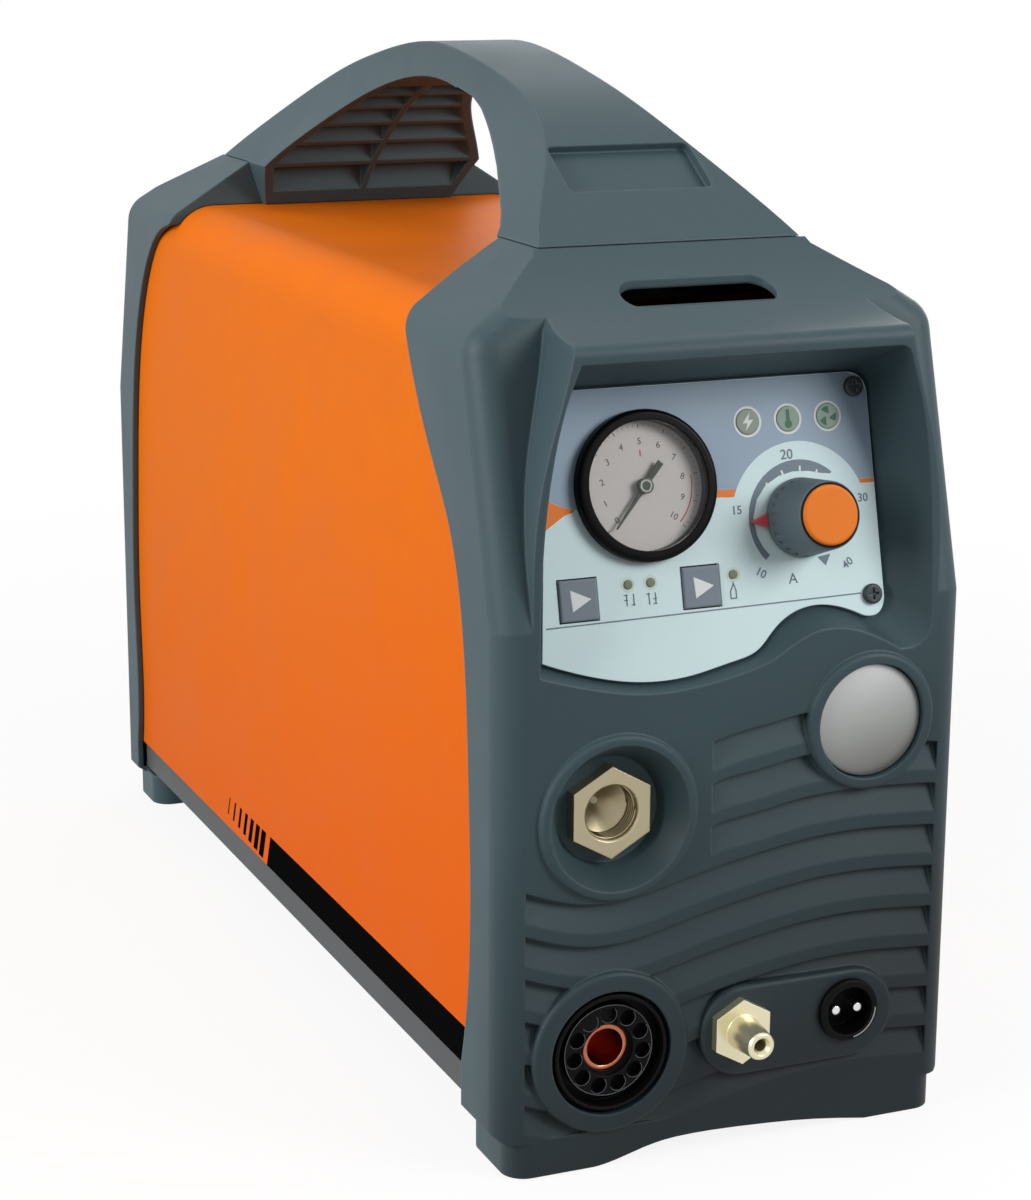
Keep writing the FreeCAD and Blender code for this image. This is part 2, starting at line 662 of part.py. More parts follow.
def handle_width(scale):
    """The handle seen from the front: wide feet running up into the grip."""
    top = HANDLE_TOP + 5
    foot_z = COVER_HEIGHT + FIT
    seam = SEAM_HEIGHT + FIT
    half = SEAM_HALF - scale
    grip = GRIP_HALF - scale
    right = [(half, seam), (39.2 - scale, HANDLE_TOP - 44), (25.5 - scale, HANDLE_TOP - 26.5),
             (19.2 - scale, HANDLE_TOP - 15), (grip, HANDLE_TOP - 7)]
    left = [(-x, z) for x, z in reversed(right)]
    leg = LEG_HALF - scale
    return face([[(-leg, foot_z), (leg, foot_z)], [(leg, foot_z), right[0]], right,
                 [right[-1], (grip, top)], [(grip, top), (-grip, top)], [(-grip, top), left[0]],
                 left, [left[-1], (-leg, foot_z)]], front)


def handle_outer_run():
    """The handle's outer curve seen from the side, from seam to seam."""
    drops = [(75, 44.2), (90, 34.3), (105, 25.8), (130, 15.8), (160, 8.5), (192, 3)]
    half_curve = [(SEAM_DEPTH, SEAM_HEIGHT + FIT)] + [(depth, HANDLE_TOP - drop) for depth, drop in drops]
    middle = CASE_DEPTH / 2
    mirrored = [(2 * middle - d, z) for d, z in reversed(half_curve)]
    return half_curve + [(middle, HANDLE_TOP)] + mirrored


def handle_inner_run():
    """The finger arch's curve seen from the side."""
    drops = [(110, 58.5), (133, 41.5), (160, 26.5), (193, 16.5)]
    half_curve = [(95, COVER_HEIGHT + FIT)] + [(depth, HANDLE_TOP - drop) for depth, drop in drops]
    middle = CASE_DEPTH / 2
    mirrored = [(2 * middle - d, z) for d, z in reversed(half_curve)]
    return half_curve + [(middle, HANDLE_TOP - GRIP_THICK)] + mirrored


def handle():
    """The grey carrying handle: an arched grip whose two hollow feet stand on the bezels."""
    outer = handle_outer_run()
    inner = handle_inner_run()
    step = BEZEL_DEPTH + FIT
    far_step = CASE_DEPTH - step
    seam = SEAM_HEIGHT + FIT
    low = COVER_HEIGHT + FIT
    profile = [outer, [outer[-1], (far_step, seam)], [(far_step, seam), (far_step, low)],
               [(far_step, low), inner[-1]], list(reversed(inner)), [inner[0], (step, low)],
               [(step, low), (step, seam)], [(step, seam), outer[0]]]
    body = across(face(profile, side), SEAM_HALF + 5).common(back(handle_width(0), -5, CASE_DEPTH + 5))
    hollow = handle_hollow()
    body = body.cut(hollow)
    pocket = Part.makeBox(2 * POCKET_HALF, 25, 20, Vector(-POCKET_HALF, -12.5, -POCKET_DEPTH))
    pocket = rounded(pocket, 2.5, lambda middle, edge: abs(abs(middle.x) - POCKET_HALF) < 0.01
                     and abs(middle.z - 10 + POCKET_DEPTH) < 0.01)
    pocket.Placement = Placement(Vector(0, at(POCKET_AT[0]), HANDLE_TOP - POCKET_AT[1]),
                                 Rotation(X, POCKET_SLOPE))
    return body.cut(pocket)


def handle_hollow():
    """The open underside of both feet, left between crosswise ribs and a middle spine."""
    near = 100.0
    far = 178.0
    roof = [(depth, HANDLE_TOP - drop) for depth, drop in ((near, 33.5), (120, 24), (150, 15), (far, 10))]
    runs = [[(near, COVER_HEIGHT - 2), roof[0]], roof, [roof[-1], (far, COVER_HEIGHT - 2)],
            [(far, COVER_HEIGHT - 2), (near, COVER_HEIGHT - 2)]]
    space = across(face(runs, side), HALF).common(back(handle_width(HANDLE_WALL), -5, CASE_DEPTH + 5))
    keep = [box(-RIB / 2, RIB / 2, near - 1, far + 1, COVER_HEIGHT - 5, HANDLE_TOP)]
    pitch = (far - near) / RIB_COUNT
    for i in range(1, RIB_COUNT):
        depth = near + pitch * i
        keep.append(box(-HALF, HALF, depth - RIB / 2, depth + RIB / 2, COVER_HEIGHT - 5, HANDLE_TOP))
    space = cut(space, keep)
    rear = space.mirror(Vector(0, at(CASE_DEPTH / 2), 0), Y)
    return group(space.Solids + rear.Solids)


def control_panel():
    """The printed plate in the recess, with its holes."""
    plate = face(plate_runs(0.0), flat).extrude(Vector(0, 0, -PLATE))
    holes = [panel_rod(GAUGE_RADIUS - 1.6, GAUGE_AT, -5, 1), panel_rod(SHAFT_RADIUS + 1.0, KNOB_AT, -5, 1)]
    for spot in KEY_AT.values():
        holes.append(panel_block(spot, KEY_SIZE + 0.8, KEY_SIZE + 0.8, -5, 1))
    for spot in LAMP_AT:
        holes.append(panel_rod(LAMP_RADIUS + 0.2, spot, -5, 1))
    for spot in PILOT_LAMP_AT:
        holes.append(panel_rod(PILOT_LAMP_RADIUS + 0.2, spot, -5, 1))
    for spot in PANEL_SCREW_AT:
        holes.append(panel_rod(1.7, spot, -5, 1))
    return on_panel(cut(plate, holes))


def panel_screws():
    """Pan head screws with a cross recess that hold the plate's right side."""
    screws = []
    for spot in PANEL_SCREW_AT:
        head = panel_rod(PANEL_SCREW_RADIUS, spot, 0, 1.8)
        head = rounded(head, 0.8, lambda middle, edge: middle.z > 1.7)
        cross = [panel_block(spot, 3.8, 0.9, 0.8, 3), panel_block(spot, 0.9, 3.8, 0.8, 3)]
        screws.append(cut(head.fuse(panel_rod(1.5, spot, BACK_DOWN - 1.5, 0)), cross))
    return on_panel(group(screws))


def gauge_case():
    """The black cup of the air gauge, its rim lying on the plate."""
    cup = join([panel_rod(GAUGE_RADIUS, GAUGE_AT, 0, GAUGE_PROUD),
                panel_rod(GAUGE_RADIUS - 2.8, GAUGE_AT, -GAUGE_LENGTH, 0)])
    cup = rounded(cup, 1.6, lambda middle, edge: middle.z > GAUGE_PROUD - 0.01)
    bores = [panel_rod(GAUGE_DIAL - 2.2, GAUGE_AT, 2 - GAUGE_LENGTH, 9),
             panel_rod(GAUGE_DIAL + 0.1, GAUGE_AT, -1.5, 9)]
    return on_panel(cut(cup, bores))


def gauge_dial():
    return on_panel(panel_rod(GAUGE_DIAL, GAUGE_AT, -1.5, -0.7).cut(panel_rod(1.6, GAUGE_AT, -3, 3)))


def gauge_lens():
    seat = GAUGE_PROUD - 1.5
    return on_panel(panel_rod(GAUGE_DIAL, GAUGE_AT, seat, seat + 1.0))


def gauge_movement():
    """The brass movement on the cup's floor, with the needle's bush."""
    floor = 2 - GAUGE_LENGTH
    body = join([panel_block(GAUGE_AT, 14, 18, floor, -5), panel_rod(3.0, GAUGE_AT, -5, -1.9)])
    return on_panel(body.cut(panel_rod(0.8 + SHAFT_FIT, GAUGE_AT, -13.5, 0)))


def gauge_needle():
    """The needle with its hub and spindle, resting at the zero of the scale."""
    x, up = GAUGE_AT
    blade = [(-9.5, -1.1), (-9.5, 1.1), (-2, 0.8), (NEEDLE_LENGTH, 0.25), (NEEDLE_LENGTH, -0.25), (-2, -0.8)]
    shape = polygon(blade, flat).extrude(Vector(0, 0, 0.6))
    shape.translate(Vector(0, 0, 0.8))
    shape.rotate(Vector(0, 0, 0), Z, NEEDLE_ANGLE)
    shape.translate(Vector(x, up, 0))
    return on_panel(join([shape, panel_rod(2.6, GAUGE_AT, 0.4, 2.0), panel_rod(0.8, GAUGE_AT, -12, 0.4)]))


def gauge_stem():
    """The gauge's air port behind the cup."""
    base = panel_rod(7.5, GAUGE_AT, -GAUGE_LENGTH - 5, -GAUGE_LENGTH)
    stem = join([base, panel_rod(4.8, GAUGE_AT, -GAUGE_LENGTH - 12, -GAUGE_LENGTH - 5)])
    return on_panel(stem.cut(panel_rod(2.0, GAUGE_AT, -GAUGE_LENGTH - 13, -GAUGE_LENGTH - 3)))


def current_knob():
    """The ribbed current knob, hollow over the nut and bored for its shaft."""
    x, up = KNOB_AT
    top = KNOB_HEIGHT
    skirt = Part.makeCone(KNOB_RADIUS, CAP_RADIUS + 1.2, top - 1, Vector(x, up, 1))
    skirt = rounded(skirt, 0.8, lambda middle, edge: middle.z > top - 0.01)
    tools = [panel_rod(9.0, KNOB_AT, 0, 4), panel_rod(SHAFT_RADIUS + SHAFT_FIT, KNOB_AT, 0, top - 3.5),
             panel_rod(CAP_RADIUS + 0.2, KNOB_AT, top - 0.8, top + 2)]
    for i in range(KNOB_RIBS):
        turn = 2 * math.pi * (i + 0.5) / KNOB_RIBS
        reach = KNOB_RADIUS + 0.35
        spot = (x + reach * math.cos(turn), up + reach * math.sin(turn))
        tools.append(panel_rod(1.2, spot, 3.5, top - 3.5))
    return on_panel(cut(skirt, tools))


def knob_cap():
    """The orange disc let into the knob's front."""
    disc = panel_rod(CAP_RADIUS, KNOB_AT, KNOB_HEIGHT - 0.8, KNOB_HEIGHT + 1.2)
    return on_panel(rounded(disc, 1.0, lambda middle, edge: middle.z > KNOB_HEIGHT + 1))


def knob_pointer():
    """The red pointer on the knob's skirt."""
    x, up = KNOB_AT
    tip = KNOB_RADIUS + 6.1
    mark = polygon([(x - KNOB_RADIUS + 2, up - 3.2), (x - tip, up), (x - KNOB_RADIUS + 2, up + 3.2)], flat)
    mark = mark.extrude(Vector(0, 0, 0.9))
    mark.translate(Vector(0, 0, 1.2))
    return on_panel(mark.cut(panel_rod(KNOB_RADIUS + 0.02, KNOB_AT, 0, 5)))


def pot_shaft():
    return on_panel(panel_rod(SHAFT_RADIUS, KNOB_AT, BOARD_TOP + 2, KNOB_HEIGHT - 4))


def potentiometer():
    """The potentiometer between the board and the recess floor, its bush through the plate."""
    body = join([panel_rod(8.5, KNOB_AT, BOARD_TOP, BACK_DOWN),
                 panel_rod(SHAFT_RADIUS + 0.9, KNOB_AT, BACK_DOWN, 2.6)])
    return on_panel(body.cut(panel_rod(SHAFT_RADIUS + SHAFT_FIT, KNOB_AT, BOARD_TOP + 1.5, 4)))


def push_key(spot):
    """A square key with a short stem down to its switch."""
    cap = panel_block(spot, KEY_SIZE, KEY_SIZE, -3.0, 0.9)
    cap = rounded(cap, 0.6, lambda middle, edge: middle.z > 0.85)
    stem = panel_rod(KEY_STEM, spot, BOARD_TOP + 1.0 + KEY_TRAVEL, -3.0)
    return on_panel(cap.fuse(stem).removeSplitter())


def key_switches():
    """One small switch on the board behind each key, bored for its stem."""
    switches = []
    for spot in KEY_AT.values():
        bore = panel_rod(KEY_STEM + SHAFT_FIT, spot, BOARD_TOP + 0.8, 0)
        switches.append(panel_block(spot, 6, 6, BOARD_TOP, BOARD_TOP + 4.3).cut(bore))
    return on_panel(group(switches))


def panel_lamps():
    """The round lamp windows of the top row."""
    lamps = []
    for spot in LAMP_AT:
        lamp = panel_rod(LAMP_RADIUS, spot, FLOOR_DOWN, 0.4)
        lamps.append(rounded(lamp, 0.3, lambda middle, edge: middle.z > 0.39))
    return on_panel(group(lamps))


def pilot_lamps():
    """The small round lamps beside the keys, standing on the board."""
    return on_panel(group([panel_rod(PILOT_LAMP_RADIUS, spot, BOARD_TOP, 0.4) for spot in PILOT_LAMP_AT]))


def lamp_leds():
    """The light-emitting diodes behind the top row."""
    return on_panel(group([panel_rod(2.5, spot, BOARD_TOP, BACK_DOWN + 0.5) for spot in LAMP_AT]))


def control_board():
    """The circuit board behind the recess, cut out round the gauge."""
    board = Part.makeBox(112, 86, BOARD, Vector(-58, 12, BOARD_TOP - BOARD))
    return on_panel(board.cut(panel_rod(GAUGE_RADIUS, GAUGE_AT, BOARD_TOP - 5, BOARD_TOP + 5)))


def board_standoffs():
    spots = [(-54, 94), (47, 94), (-54, 17), (47, 17)]
    return on_panel(group([panel_rod(3.0, spot, BOARD_TOP, BACK_DOWN) for spot in spots]))


def torch_outlet():
    """The brass torch outlet: a hexagon on the floor of its well, threaded inside."""
    face_at, seat = OUTLET_FACE, OUTLET_SEAT
    bar = hexagon(OUTLET_FLATS, OUTLET_AT, face_at, seat)
    crown = outlet_cone(OUTLET_FLATS / 2 - 0.6, OUTLET_FLATS / math.sqrt(3) + 6, face_at, face_at + 6.4)
    body = join([bar.common(crown), rod(OUTLET_THREAD, OUTLET_AT, seat, outlet_end())])
    mouth = outlet_cone(OUTLET_BORE + 1.4, OUTLET_BORE, face_at, face_at + 1.4)
    return cut(body, [rod(OUTLET_BORE, OUTLET_AT, face_at - 1, seat + 8), mouth,
                      rod(3.0, OUTLET_AT, seat + 4, outlet_end() + 1)])


def outlet_end():
    """Depth of the torch outlet's rear end."""
    return OUTLET_SEAT + 22


def nut(flats, bore, spot, d0, d1):
    return hexagon(flats, spot, d0, d1).cut(rod(bore, spot, d0 - 1, d1 + 1))


def front_lock_nuts():
    """The nuts behind the front face that hold outlet, sockets and fitting, and the knob's nut."""
    start = FACE_WALL + 4
    knob_nut = panel_rod(6.5, KNOB_AT, 0, 2.0).cut(panel_rod(SHAFT_RADIUS + 1.0, KNOB_AT, -1, 3))
    behind = OUTLET_SEAT + 4
    return group([nut(32, OUTLET_THREAD + 0.1, OUTLET_AT, behind, behind + 6),
                  nut(30, EARTH_BORE + 3.6, EARTH_AT, start, start + 6),
                  nut(18, PILOT_BARREL + 0.1, PILOT_AT, start, start + 5),
                  nut(25, TRIGGER_RADIUS - 1.4, TRIGGER_AT, start, start + 3), on_panel(knob_nut)])


def earth_socket():
    """The black twist-lock socket: a ring of round pockets and a key slot about its bore."""
    x, z = EARTH_AT
    rim_at, insert_at = -1.5, 1.0
    body = join([rod(EARTH_RADIUS, EARTH_AT, rim_at, WELL_DEPTH),
                 rod(EARTH_BORE + 3.5, EARTH_AT, WELL_DEPTH, 30)])
    body = rounded(body, 0.8, lambda middle, edge: middle.y < at(rim_at + 0.01))
    ring = rod(EARTH_RADIUS - 1.4, EARTH_AT, rim_at - 1, WELL_DEPTH - 1.2)
    tools = [ring.cut(rod(EARTH_INSERT, EARTH_AT, rim_at - 2, WELL_DEPTH)),
             rod(EARTH_INSERT + 1, EARTH_AT, rim_at - 1, insert_at),
             rod(EARTH_POCKET_CIRCLE - 3.3, EARTH_AT, rim_at - 1, EARTH_SLEEVE - 0.6),
             rod(EARTH_BORE + 1.6, EARTH_AT, rim_at - 1, 31),
             box(x - 3, x + 3, rim_at - 1, EARTH_SLEEVE - 0.6, z, z + EARTH_POCKET_CIRCLE + 2.2)]
    for i in range(1, EARTH_POCKETS - 1):
        turn = 2 * math.pi * i / EARTH_POCKETS
        spot = (x + EARTH_POCKET_CIRCLE * math.sin(turn), z + EARTH_POCKET_CIRCLE * math.cos(turn))
        tools.append(rod(2.75, spot, rim_at - 1, WELL_DEPTH - 1.5))
    return cut(body, tools)


def earth_contact():
    """The socket's copper sleeve and its cable stud."""
    sleeve = rod(EARTH_BORE + 1.5, EARTH_AT, EARTH_SLEEVE, 34).cut(rod(EARTH_BORE, EARTH_AT, 0, 31))
    return join([sleeve, rod(4.0, EARTH_AT, 34, 44)])


def pilot_fitting():
    """The brass gas fitting: a hexagon, a flare and the tube."""
    seat = -RING_PROUD
    shoulder = seat - 3.5
    flare_end = shoulder - 4.5
    flare = Part.makeCone(PILOT_TUBE + 1.6, PILOT_TUBE, shoulder - flare_end,
                          Vector(PILOT_AT[0], at(shoulder), PILOT_AT[1]), Vector(0, -1, 0))
    body = join([hexagon(PILOT_FLATS, PILOT_AT, shoulder, seat), flare,
                 rod(PILOT_TUBE, PILOT_AT, -PILOT_REACH, flare_end), rod(PILOT_BARREL, PILOT_AT, seat, 22)])
    body = rounded(body, 0.6, lambda middle, edge: middle.y < at(0.01 - PILOT_REACH))
    return body.cut(rod(PILOT_BORE, PILOT_AT, -PILOT_REACH - 1, 23))


def trigger_pin_spots():
    return [(TRIGGER_AT[0] + x, TRIGGER_AT[1]) for x in (-4.1, 4.1)]


def trigger_socket():
    """The black socket of the trigger lead, an open cup with two pins in it."""
    seat = -RING_PROUD
    body = join([rod(TRIGGER_RADIUS, TRIGGER_AT, seat - 2.2, seat),
                 rod(TRIGGER_RADIUS - 1.5, TRIGGER_AT, seat, 18)])
    body = rounded(body, 0.9, lambda middle, edge: middle.y < at(seat - 2.1))
    tools = [rod(TRIGGER_RADIUS - 2.4, TRIGGER_AT, seat - 3, 5)]
    return cut(body, tools + [rod(TRIGGER_PIN + 0.02, spot, 0, 20) for spot in trigger_pin_spots()])


def trigger_pins():
    return group([rod(TRIGGER_PIN, spot, -2.0, 23) for spot in trigger_pin_spots()])


def badge():
    """The plain domed disc let into its ring."""
    front_at = -RING_PROUD
    rise = BADGE_RISE
    ball = (BADGE_RADIUS ** 2 + rise ** 2) / (2 * rise)
    dome = Part.makeSphere(ball, Vector(BADGE_AT[0], at(front_at + ball), BADGE_AT[1]))
    return rod(BADGE_RADIUS, BADGE_AT, front_at - 1, 2.0).common(dome)


def rear_panel():
    """The sheet steel rear wall with its foot flange and openings."""
    half = COVER_IN - FIT - 1.7
    bottom = TRAY_FLOOR
    d0 = REAR_PANEL_DEPTH
    plate = box(-half, half, d0, d0 + SHEET, bottom, COVER_HEIGHT - 77)
    flange = box(-half, half, d0 - 12, d0, bottom, bottom + SHEET)
    fan_at = (0, FAN_HEIGHT)
    width = SWITCH_WIDTH / 2 + 2.3
    x, z = SWITCH_AT
    holes = [rod(FAN_BORE - 0.5, fan_at, d0 - 1, d0 + 3),
             box(x - width, x + width, d0 - 1, d0 + 3, z - 15.3, z + 15.3),
             rod(10.1, GLAND_AT, d0 - 1, d0 + 3), rod(6.3, INLET_AT, d0 - 1, d0 + 3)]
    holes += [rod(2.2, spot, d0 - 1, d0 + 3) for spot in fan_screw_spots()]
    holes += [rod(1.8, spot, d0 - 1, d0 + 3) for spot in rear_screw_spots()]
    return cut(join([plate, flange]), holes)


def fan_screw_spots():
    reach = FAN_SIZE / 2 - 4.75
    return [(x * reach, FAN_HEIGHT + z * reach) for x in (-1, 1) for z in (-1, 1)]


def rear_screw_spots():
    across_at = HALF - 14
    return [(x, z) for x in (-across_at, across_at) for z in (44, 176)]


def rear_bosses():
    """The bosses inside the rear bezel that its screws pass through."""
    start = REAR_PANEL_DEPTH + SHEET
    return [rod(4.5, spot, start, CASE_DEPTH - FACE_WALL + 1) for spot in rear_screw_spots()]


def fan_frame():
    """The fan's square frame, its hub carried on four arms."""
    end = REAR_PANEL_DEPTH
    start = end - FAN_THICK
    half = FAN_SIZE / 2
    spot = (0, FAN_HEIGHT)
    frame = box(-half, half, start, end, FAN_HEIGHT - half, FAN_HEIGHT + half)
    frame = rounded(frame, 4, lambda middle, edge: abs(abs(middle.x) - half) < 0.01
                    and abs(abs(middle.z - FAN_HEIGHT) - half) < 0.01)
    frame = frame.cut(rod(FAN_BORE, spot, start - 1, end + 1))
    arms = [box(-FAN_BORE - 0.5, FAN_BORE + 0.5, start, start + 3, FAN_HEIGHT - 2, FAN_HEIGHT + 2),
            box(-2, 2, start, start + 3, FAN_HEIGHT - FAN_BORE - 0.5, FAN_HEIGHT + FAN_BORE + 0.5)]
    frame = join([frame, rod(FAN_HUB - 1, spot, start, start + 5)] + arms)
    holes = [rod(2.2, place, start - 1, end + 1) for place in fan_screw_spots()]
    return cut(frame, holes + [rod(1.5 + SHAFT_FIT, spot, start + 1, end)])


def fan_rotor():
    """The fan's rotor: a hub with pitched blades and its shaft."""
    end = REAR_PANEL_DEPTH
    start = end - FAN_THICK
    spot = (0, FAN_HEIGHT)
    first, last = start + 6, end - 2
    hub = rod(FAN_HUB, spot, first, last)
    hub = rounded(hub, 2, lambda middle, edge: middle.y > at(last - 0.01))
    shell = rod(FAN_BORE - 1.2, spot, first + 0.5, last - 0.5)
    blades = []
    for i in range(FAN_BLADES):
        blade = Part.makeBox(FAN_BORE, 26, 1.6, Vector(FAN_HUB - 2, -13, -0.8))
        blade.rotate(Vector(0, 0, 0), X, 38)
        blade.translate(Vector(0, at((first + last) / 2), FAN_HEIGHT))
        blade.rotate(Vector(0, 0, FAN_HEIGHT), Y, 360 * i / FAN_BLADES)
        blades.append(blade.common(shell))
    return join([hub] + blades + [rod(1.5, spot, start + 1.5, first)])


def fan_guard():
    """The wire guard over the fan, on four eyes."""
    spot = (0, FAN_HEIGHT)
    base = REAR_PANEL_DEPTH + SHEET
    level = base + GUARD_PROUD
    centre = Vector(0, at(level), FAN_HEIGHT)
    rings = [Part.makeTorus(radius, GUARD_WIRE, centre, Y) for radius in (12, 22, 32, 42)]
    eyes, bars = [], []
    for place in fan_screw_spots():
        eyes.append(rod(4.4, place, base, base + GUARD_PROUD + GUARD_WIRE))
        end = Vector(place[0], at(level), place[1])
        bars.append(Part.makeCylinder(GUARD_WIRE * 1.05, (end - centre).Length, centre, end - centre))
    holes = [rod(2.2, place, base - 1, base + 9) for place in fan_screw_spots()]
    return cut(join(rings + bars + eyes), holes)


def fan_screws():
    """Screws through guard, panel and fan frame."""
    top = REAR_PANEL_DEPTH + SHEET + GUARD_PROUD + GUARD_WIRE
    screws = []
    for spot in fan_screw_spots():
        head = rod(3.8, spot, top, top + 2.4)
        head = rounded(head, 1.0, lambda middle, edge: middle.y > at(top + 2.3))
        cross = [box(spot[0] - 2.2, spot[0] + 2.2, top + 1.2, top + 4, spot[1] - 0.5, spot[1] + 0.5),
                 box(spot[0] - 0.5, spot[0] + 0.5, top + 1.2, top + 4, spot[1] - 2.2, spot[1] + 2.2)]
        screws.append(cut(head.fuse(rod(2.0, spot, REAR_PANEL_DEPTH - FAN_THICK + 2, top)), cross))
    return group(screws)


def switch_pivot():
    """Depth of the rocker's pivot."""
    return REAR_PANEL_DEPTH + SHEET - 4.0


def mains_switch():
    """The switch housing clipped into the rear panel."""
    x, z = SWITCH_AT
    outside = REAR_PANEL_DEPTH + SHEET
    width = SWITCH_WIDTH / 2 + 2
    body = join([box(x - width - 1.8, x + width + 1.8, outside, outside + 2, z - 17, z + 17),
                 box(x - width, x + width, outside - 22, outside, z - 15, z + 15)])
    body = rounded(body, 0.8, lambda middle, edge: middle.y > at(outside + 1.99))
    room = SWITCH_WIDTH / 2 + FIT
    drum = Part.makeCylinder(SWITCH_RADIUS + 0.4, 2 * room, Vector(x - room, at(switch_pivot()), z), X)
    pin = Part.makeCylinder(1.5 + SHAFT_FIT, 2 * width + 2, Vector(x - width - 1, at(switch_pivot()), z), X)
    return cut(body, [drum, pin])


def mains_rocker():
    """The rocker, resting in its off position."""
    x, z = SWITCH_AT
    half = SWITCH_WIDTH / 2
    centre = Vector(x, at(switch_pivot()), z)
    drum = Part.makeCylinder(SWITCH_RADIUS, SWITCH_WIDTH, centre - X * half, X)
    rise = math.tan(math.radians(SWITCH_SWING / 2)) * SWITCH_RADIUS
    depth = switch_pivot()
    outline = polygon([(depth - 3, z - 14), (depth + 5.5 + rise, z - 14), (depth + 5.5, z),
                       (depth + 5.5 + rise, z + 14), (depth - 3, z + 14)], side)
    outline.translate(Vector(x - half, 0, 0))
    body = drum.common(outline.extrude(Vector(SWITCH_WIDTH, 0, 0)))
    pins = Part.makeCylinder(1.5, SWITCH_WIDTH + 3.4, centre - X * (half + 1.7), X)
    body = body.fuse(pins).removeSplitter()
    body.rotate(centre, X, -SWITCH_SWING / 2)
    return body


def cable_gland():
    """The gland's body, where the mains lead would pass."""
    outside = REAR_PANEL_DEPTH + SHEET
    body = join([rod(9.8, GLAND_AT, outside - 11, outside),
                 hexagon(GLAND_FLATS, GLAND_AT, outside, outside + 5.5),
                 rod(8.0, GLAND_AT, outside + 5.5, outside + 12)])
    return body.cut(rod(GLAND_BORE, GLAND_AT, outside - 12, outside + 13))


def gland_cap():
    """The gland's clamping cap."""
    start = REAR_PANEL_DEPTH + SHEET + 5.5 + FIT
    cap = join([hexagon(GLAND_FLATS - 1, GLAND_AT, start, start + 6),
                rod(10.6, GLAND_AT, start + 6, start + 10)])
    cap = rounded(cap, 2.5, lambda middle, edge: middle.y > at(start + 9.9))
    tools = [rod(8.2, GLAND_AT, start - 1, start + 7), rod(GLAND_BORE, GLAND_AT, start, start + 12)]
    return cut(cap, tools)


def air_inlet():
    """The brass compressed-air inlet with its hose spigot."""
    outside = REAR_PANEL_DEPTH + SHEET
    end = CASE_DEPTH + REAR_REACH
    body = join([rod(6.0, INLET_AT, outside - 15, outside), hexagon(17, INLET_AT, outside, outside + 7),
                 rod(INLET_RADIUS, INLET_AT, outside + 7, end)])
    body = rounded(body, 0.7, lambda middle, edge: middle.y > at(end - 0.01))
    return body.cut(rod(INLET_BORE, INLET_AT, outside - 16, end + 1))


def rear_lock_nuts():
    """The nuts inside the rear panel that hold gland and inlet."""
    end = REAR_PANEL_DEPTH
    return group([nut(27, 9.9, GLAND_AT, end - 5, end), nut(19, 6.1, INLET_AT, end - 5, end)])


def valve_depth():
    """Depth of the rear face of the air valve."""
    return REAR_PANEL_DEPTH + SHEET - 15


def solenoid_valve():
    """The air valve with its coil, on the inlet's end."""
    x, z = INLET_AT
    end = valve_depth()
    return join([box(x - 12, x + 12, end - 28, end, z - 12, z + 12),
                 box(x - 14, x + 14, end - 27, end - 1, z + 12, z + 40)])


def air_regulator():
    """The pressure regulator in front of the valve."""
    x, z = INLET_AT
    end = valve_depth() - 28
    body = box(x - 12, x + 12, end - 30, end, z - 11, z + 11)
    return join([body, post(12.0, x, end - 15, z + 11, z + 36)])


def bent_tube(points, radius, bend):
    """A tube along straight runs joined by arcs."""
    edges = []
    start = points[0]
    for before, corner, after in zip(points, points[1:], points[2:]):
        a = (before - corner).normalize()
        b = (after - corner).normalize()
        angle = a.getAngle(b)
        reach = bend / math.tan(angle / 2)
        middle_way = (a + b).normalize()
        middle = corner + middle_way * (bend / math.sin(angle / 2) - bend)
        first, last = corner + a * reach, corner + b * reach
        edges += [Part.LineSegment(start, first).toShape(), Part.Arc(first, middle, last).toShape()]
        start = last
    edges.append(Part.LineSegment(start, points[-1]).toShape())
    path = Part.Wire(edges)
    ring = Part.Wire([Part.Circle(points[0], points[1] - points[0], radius).toShape()])
    return path.makePipeShell([ring], True, False)


def air_tube():
    """The air line from the regulator to the torch outlet."""
    x, z = INLET_AT
    start = Vector(x, at(valve_depth() - 58), z)
    end = Vector(OUTLET_AT[0], at(outlet_end()), OUTLET_AT[1])
    return bent_tube([start, Vector(x, at(150), z), end + Y * 55, end], 3.0, 25)


def gauge_tube():
    """The thin line from the regulator's side to the gauge."""
    z = INLET_AT[1]
    port = Vector(INLET_AT[0] - 12, at(valve_depth() - 43), z)
    start = panel_point(GAUGE_AT[0], GAUGE_AT[1], -GAUGE_LENGTH - 12)
    away = panel_point(GAUGE_AT[0], GAUGE_AT[1], -GAUGE_LENGTH - 60)
    return bent_tube([start, away, Vector(GAUGE_AT[0], port.y, z), port], 1.8, 12)


def heatsinks():
    """Two aluminium extrusions, their fins towards the middle."""
    fins = 8
    thick = 3.0
    bottom = HEATSINK_BOTTOM
    near, far = HEATSINK_FROM, HEATSINK_TO
    web = box(HEATSINK_OUT - 8, HEATSINK_OUT, near, far, bottom, bottom + HEATSINK_HEIGHT)
    pitch = (HEATSINK_HEIGHT - thick) / (fins - 1)
    levels = [bottom + pitch * i for i in range(fins)]
    leaves = [box(HEATSINK_GAP, HEATSINK_OUT, near, far, level, level + thick) for level in levels]
    right = join([web] + leaves)
    return group([right, right.mirror(Vector(0, 0, 0), X)])


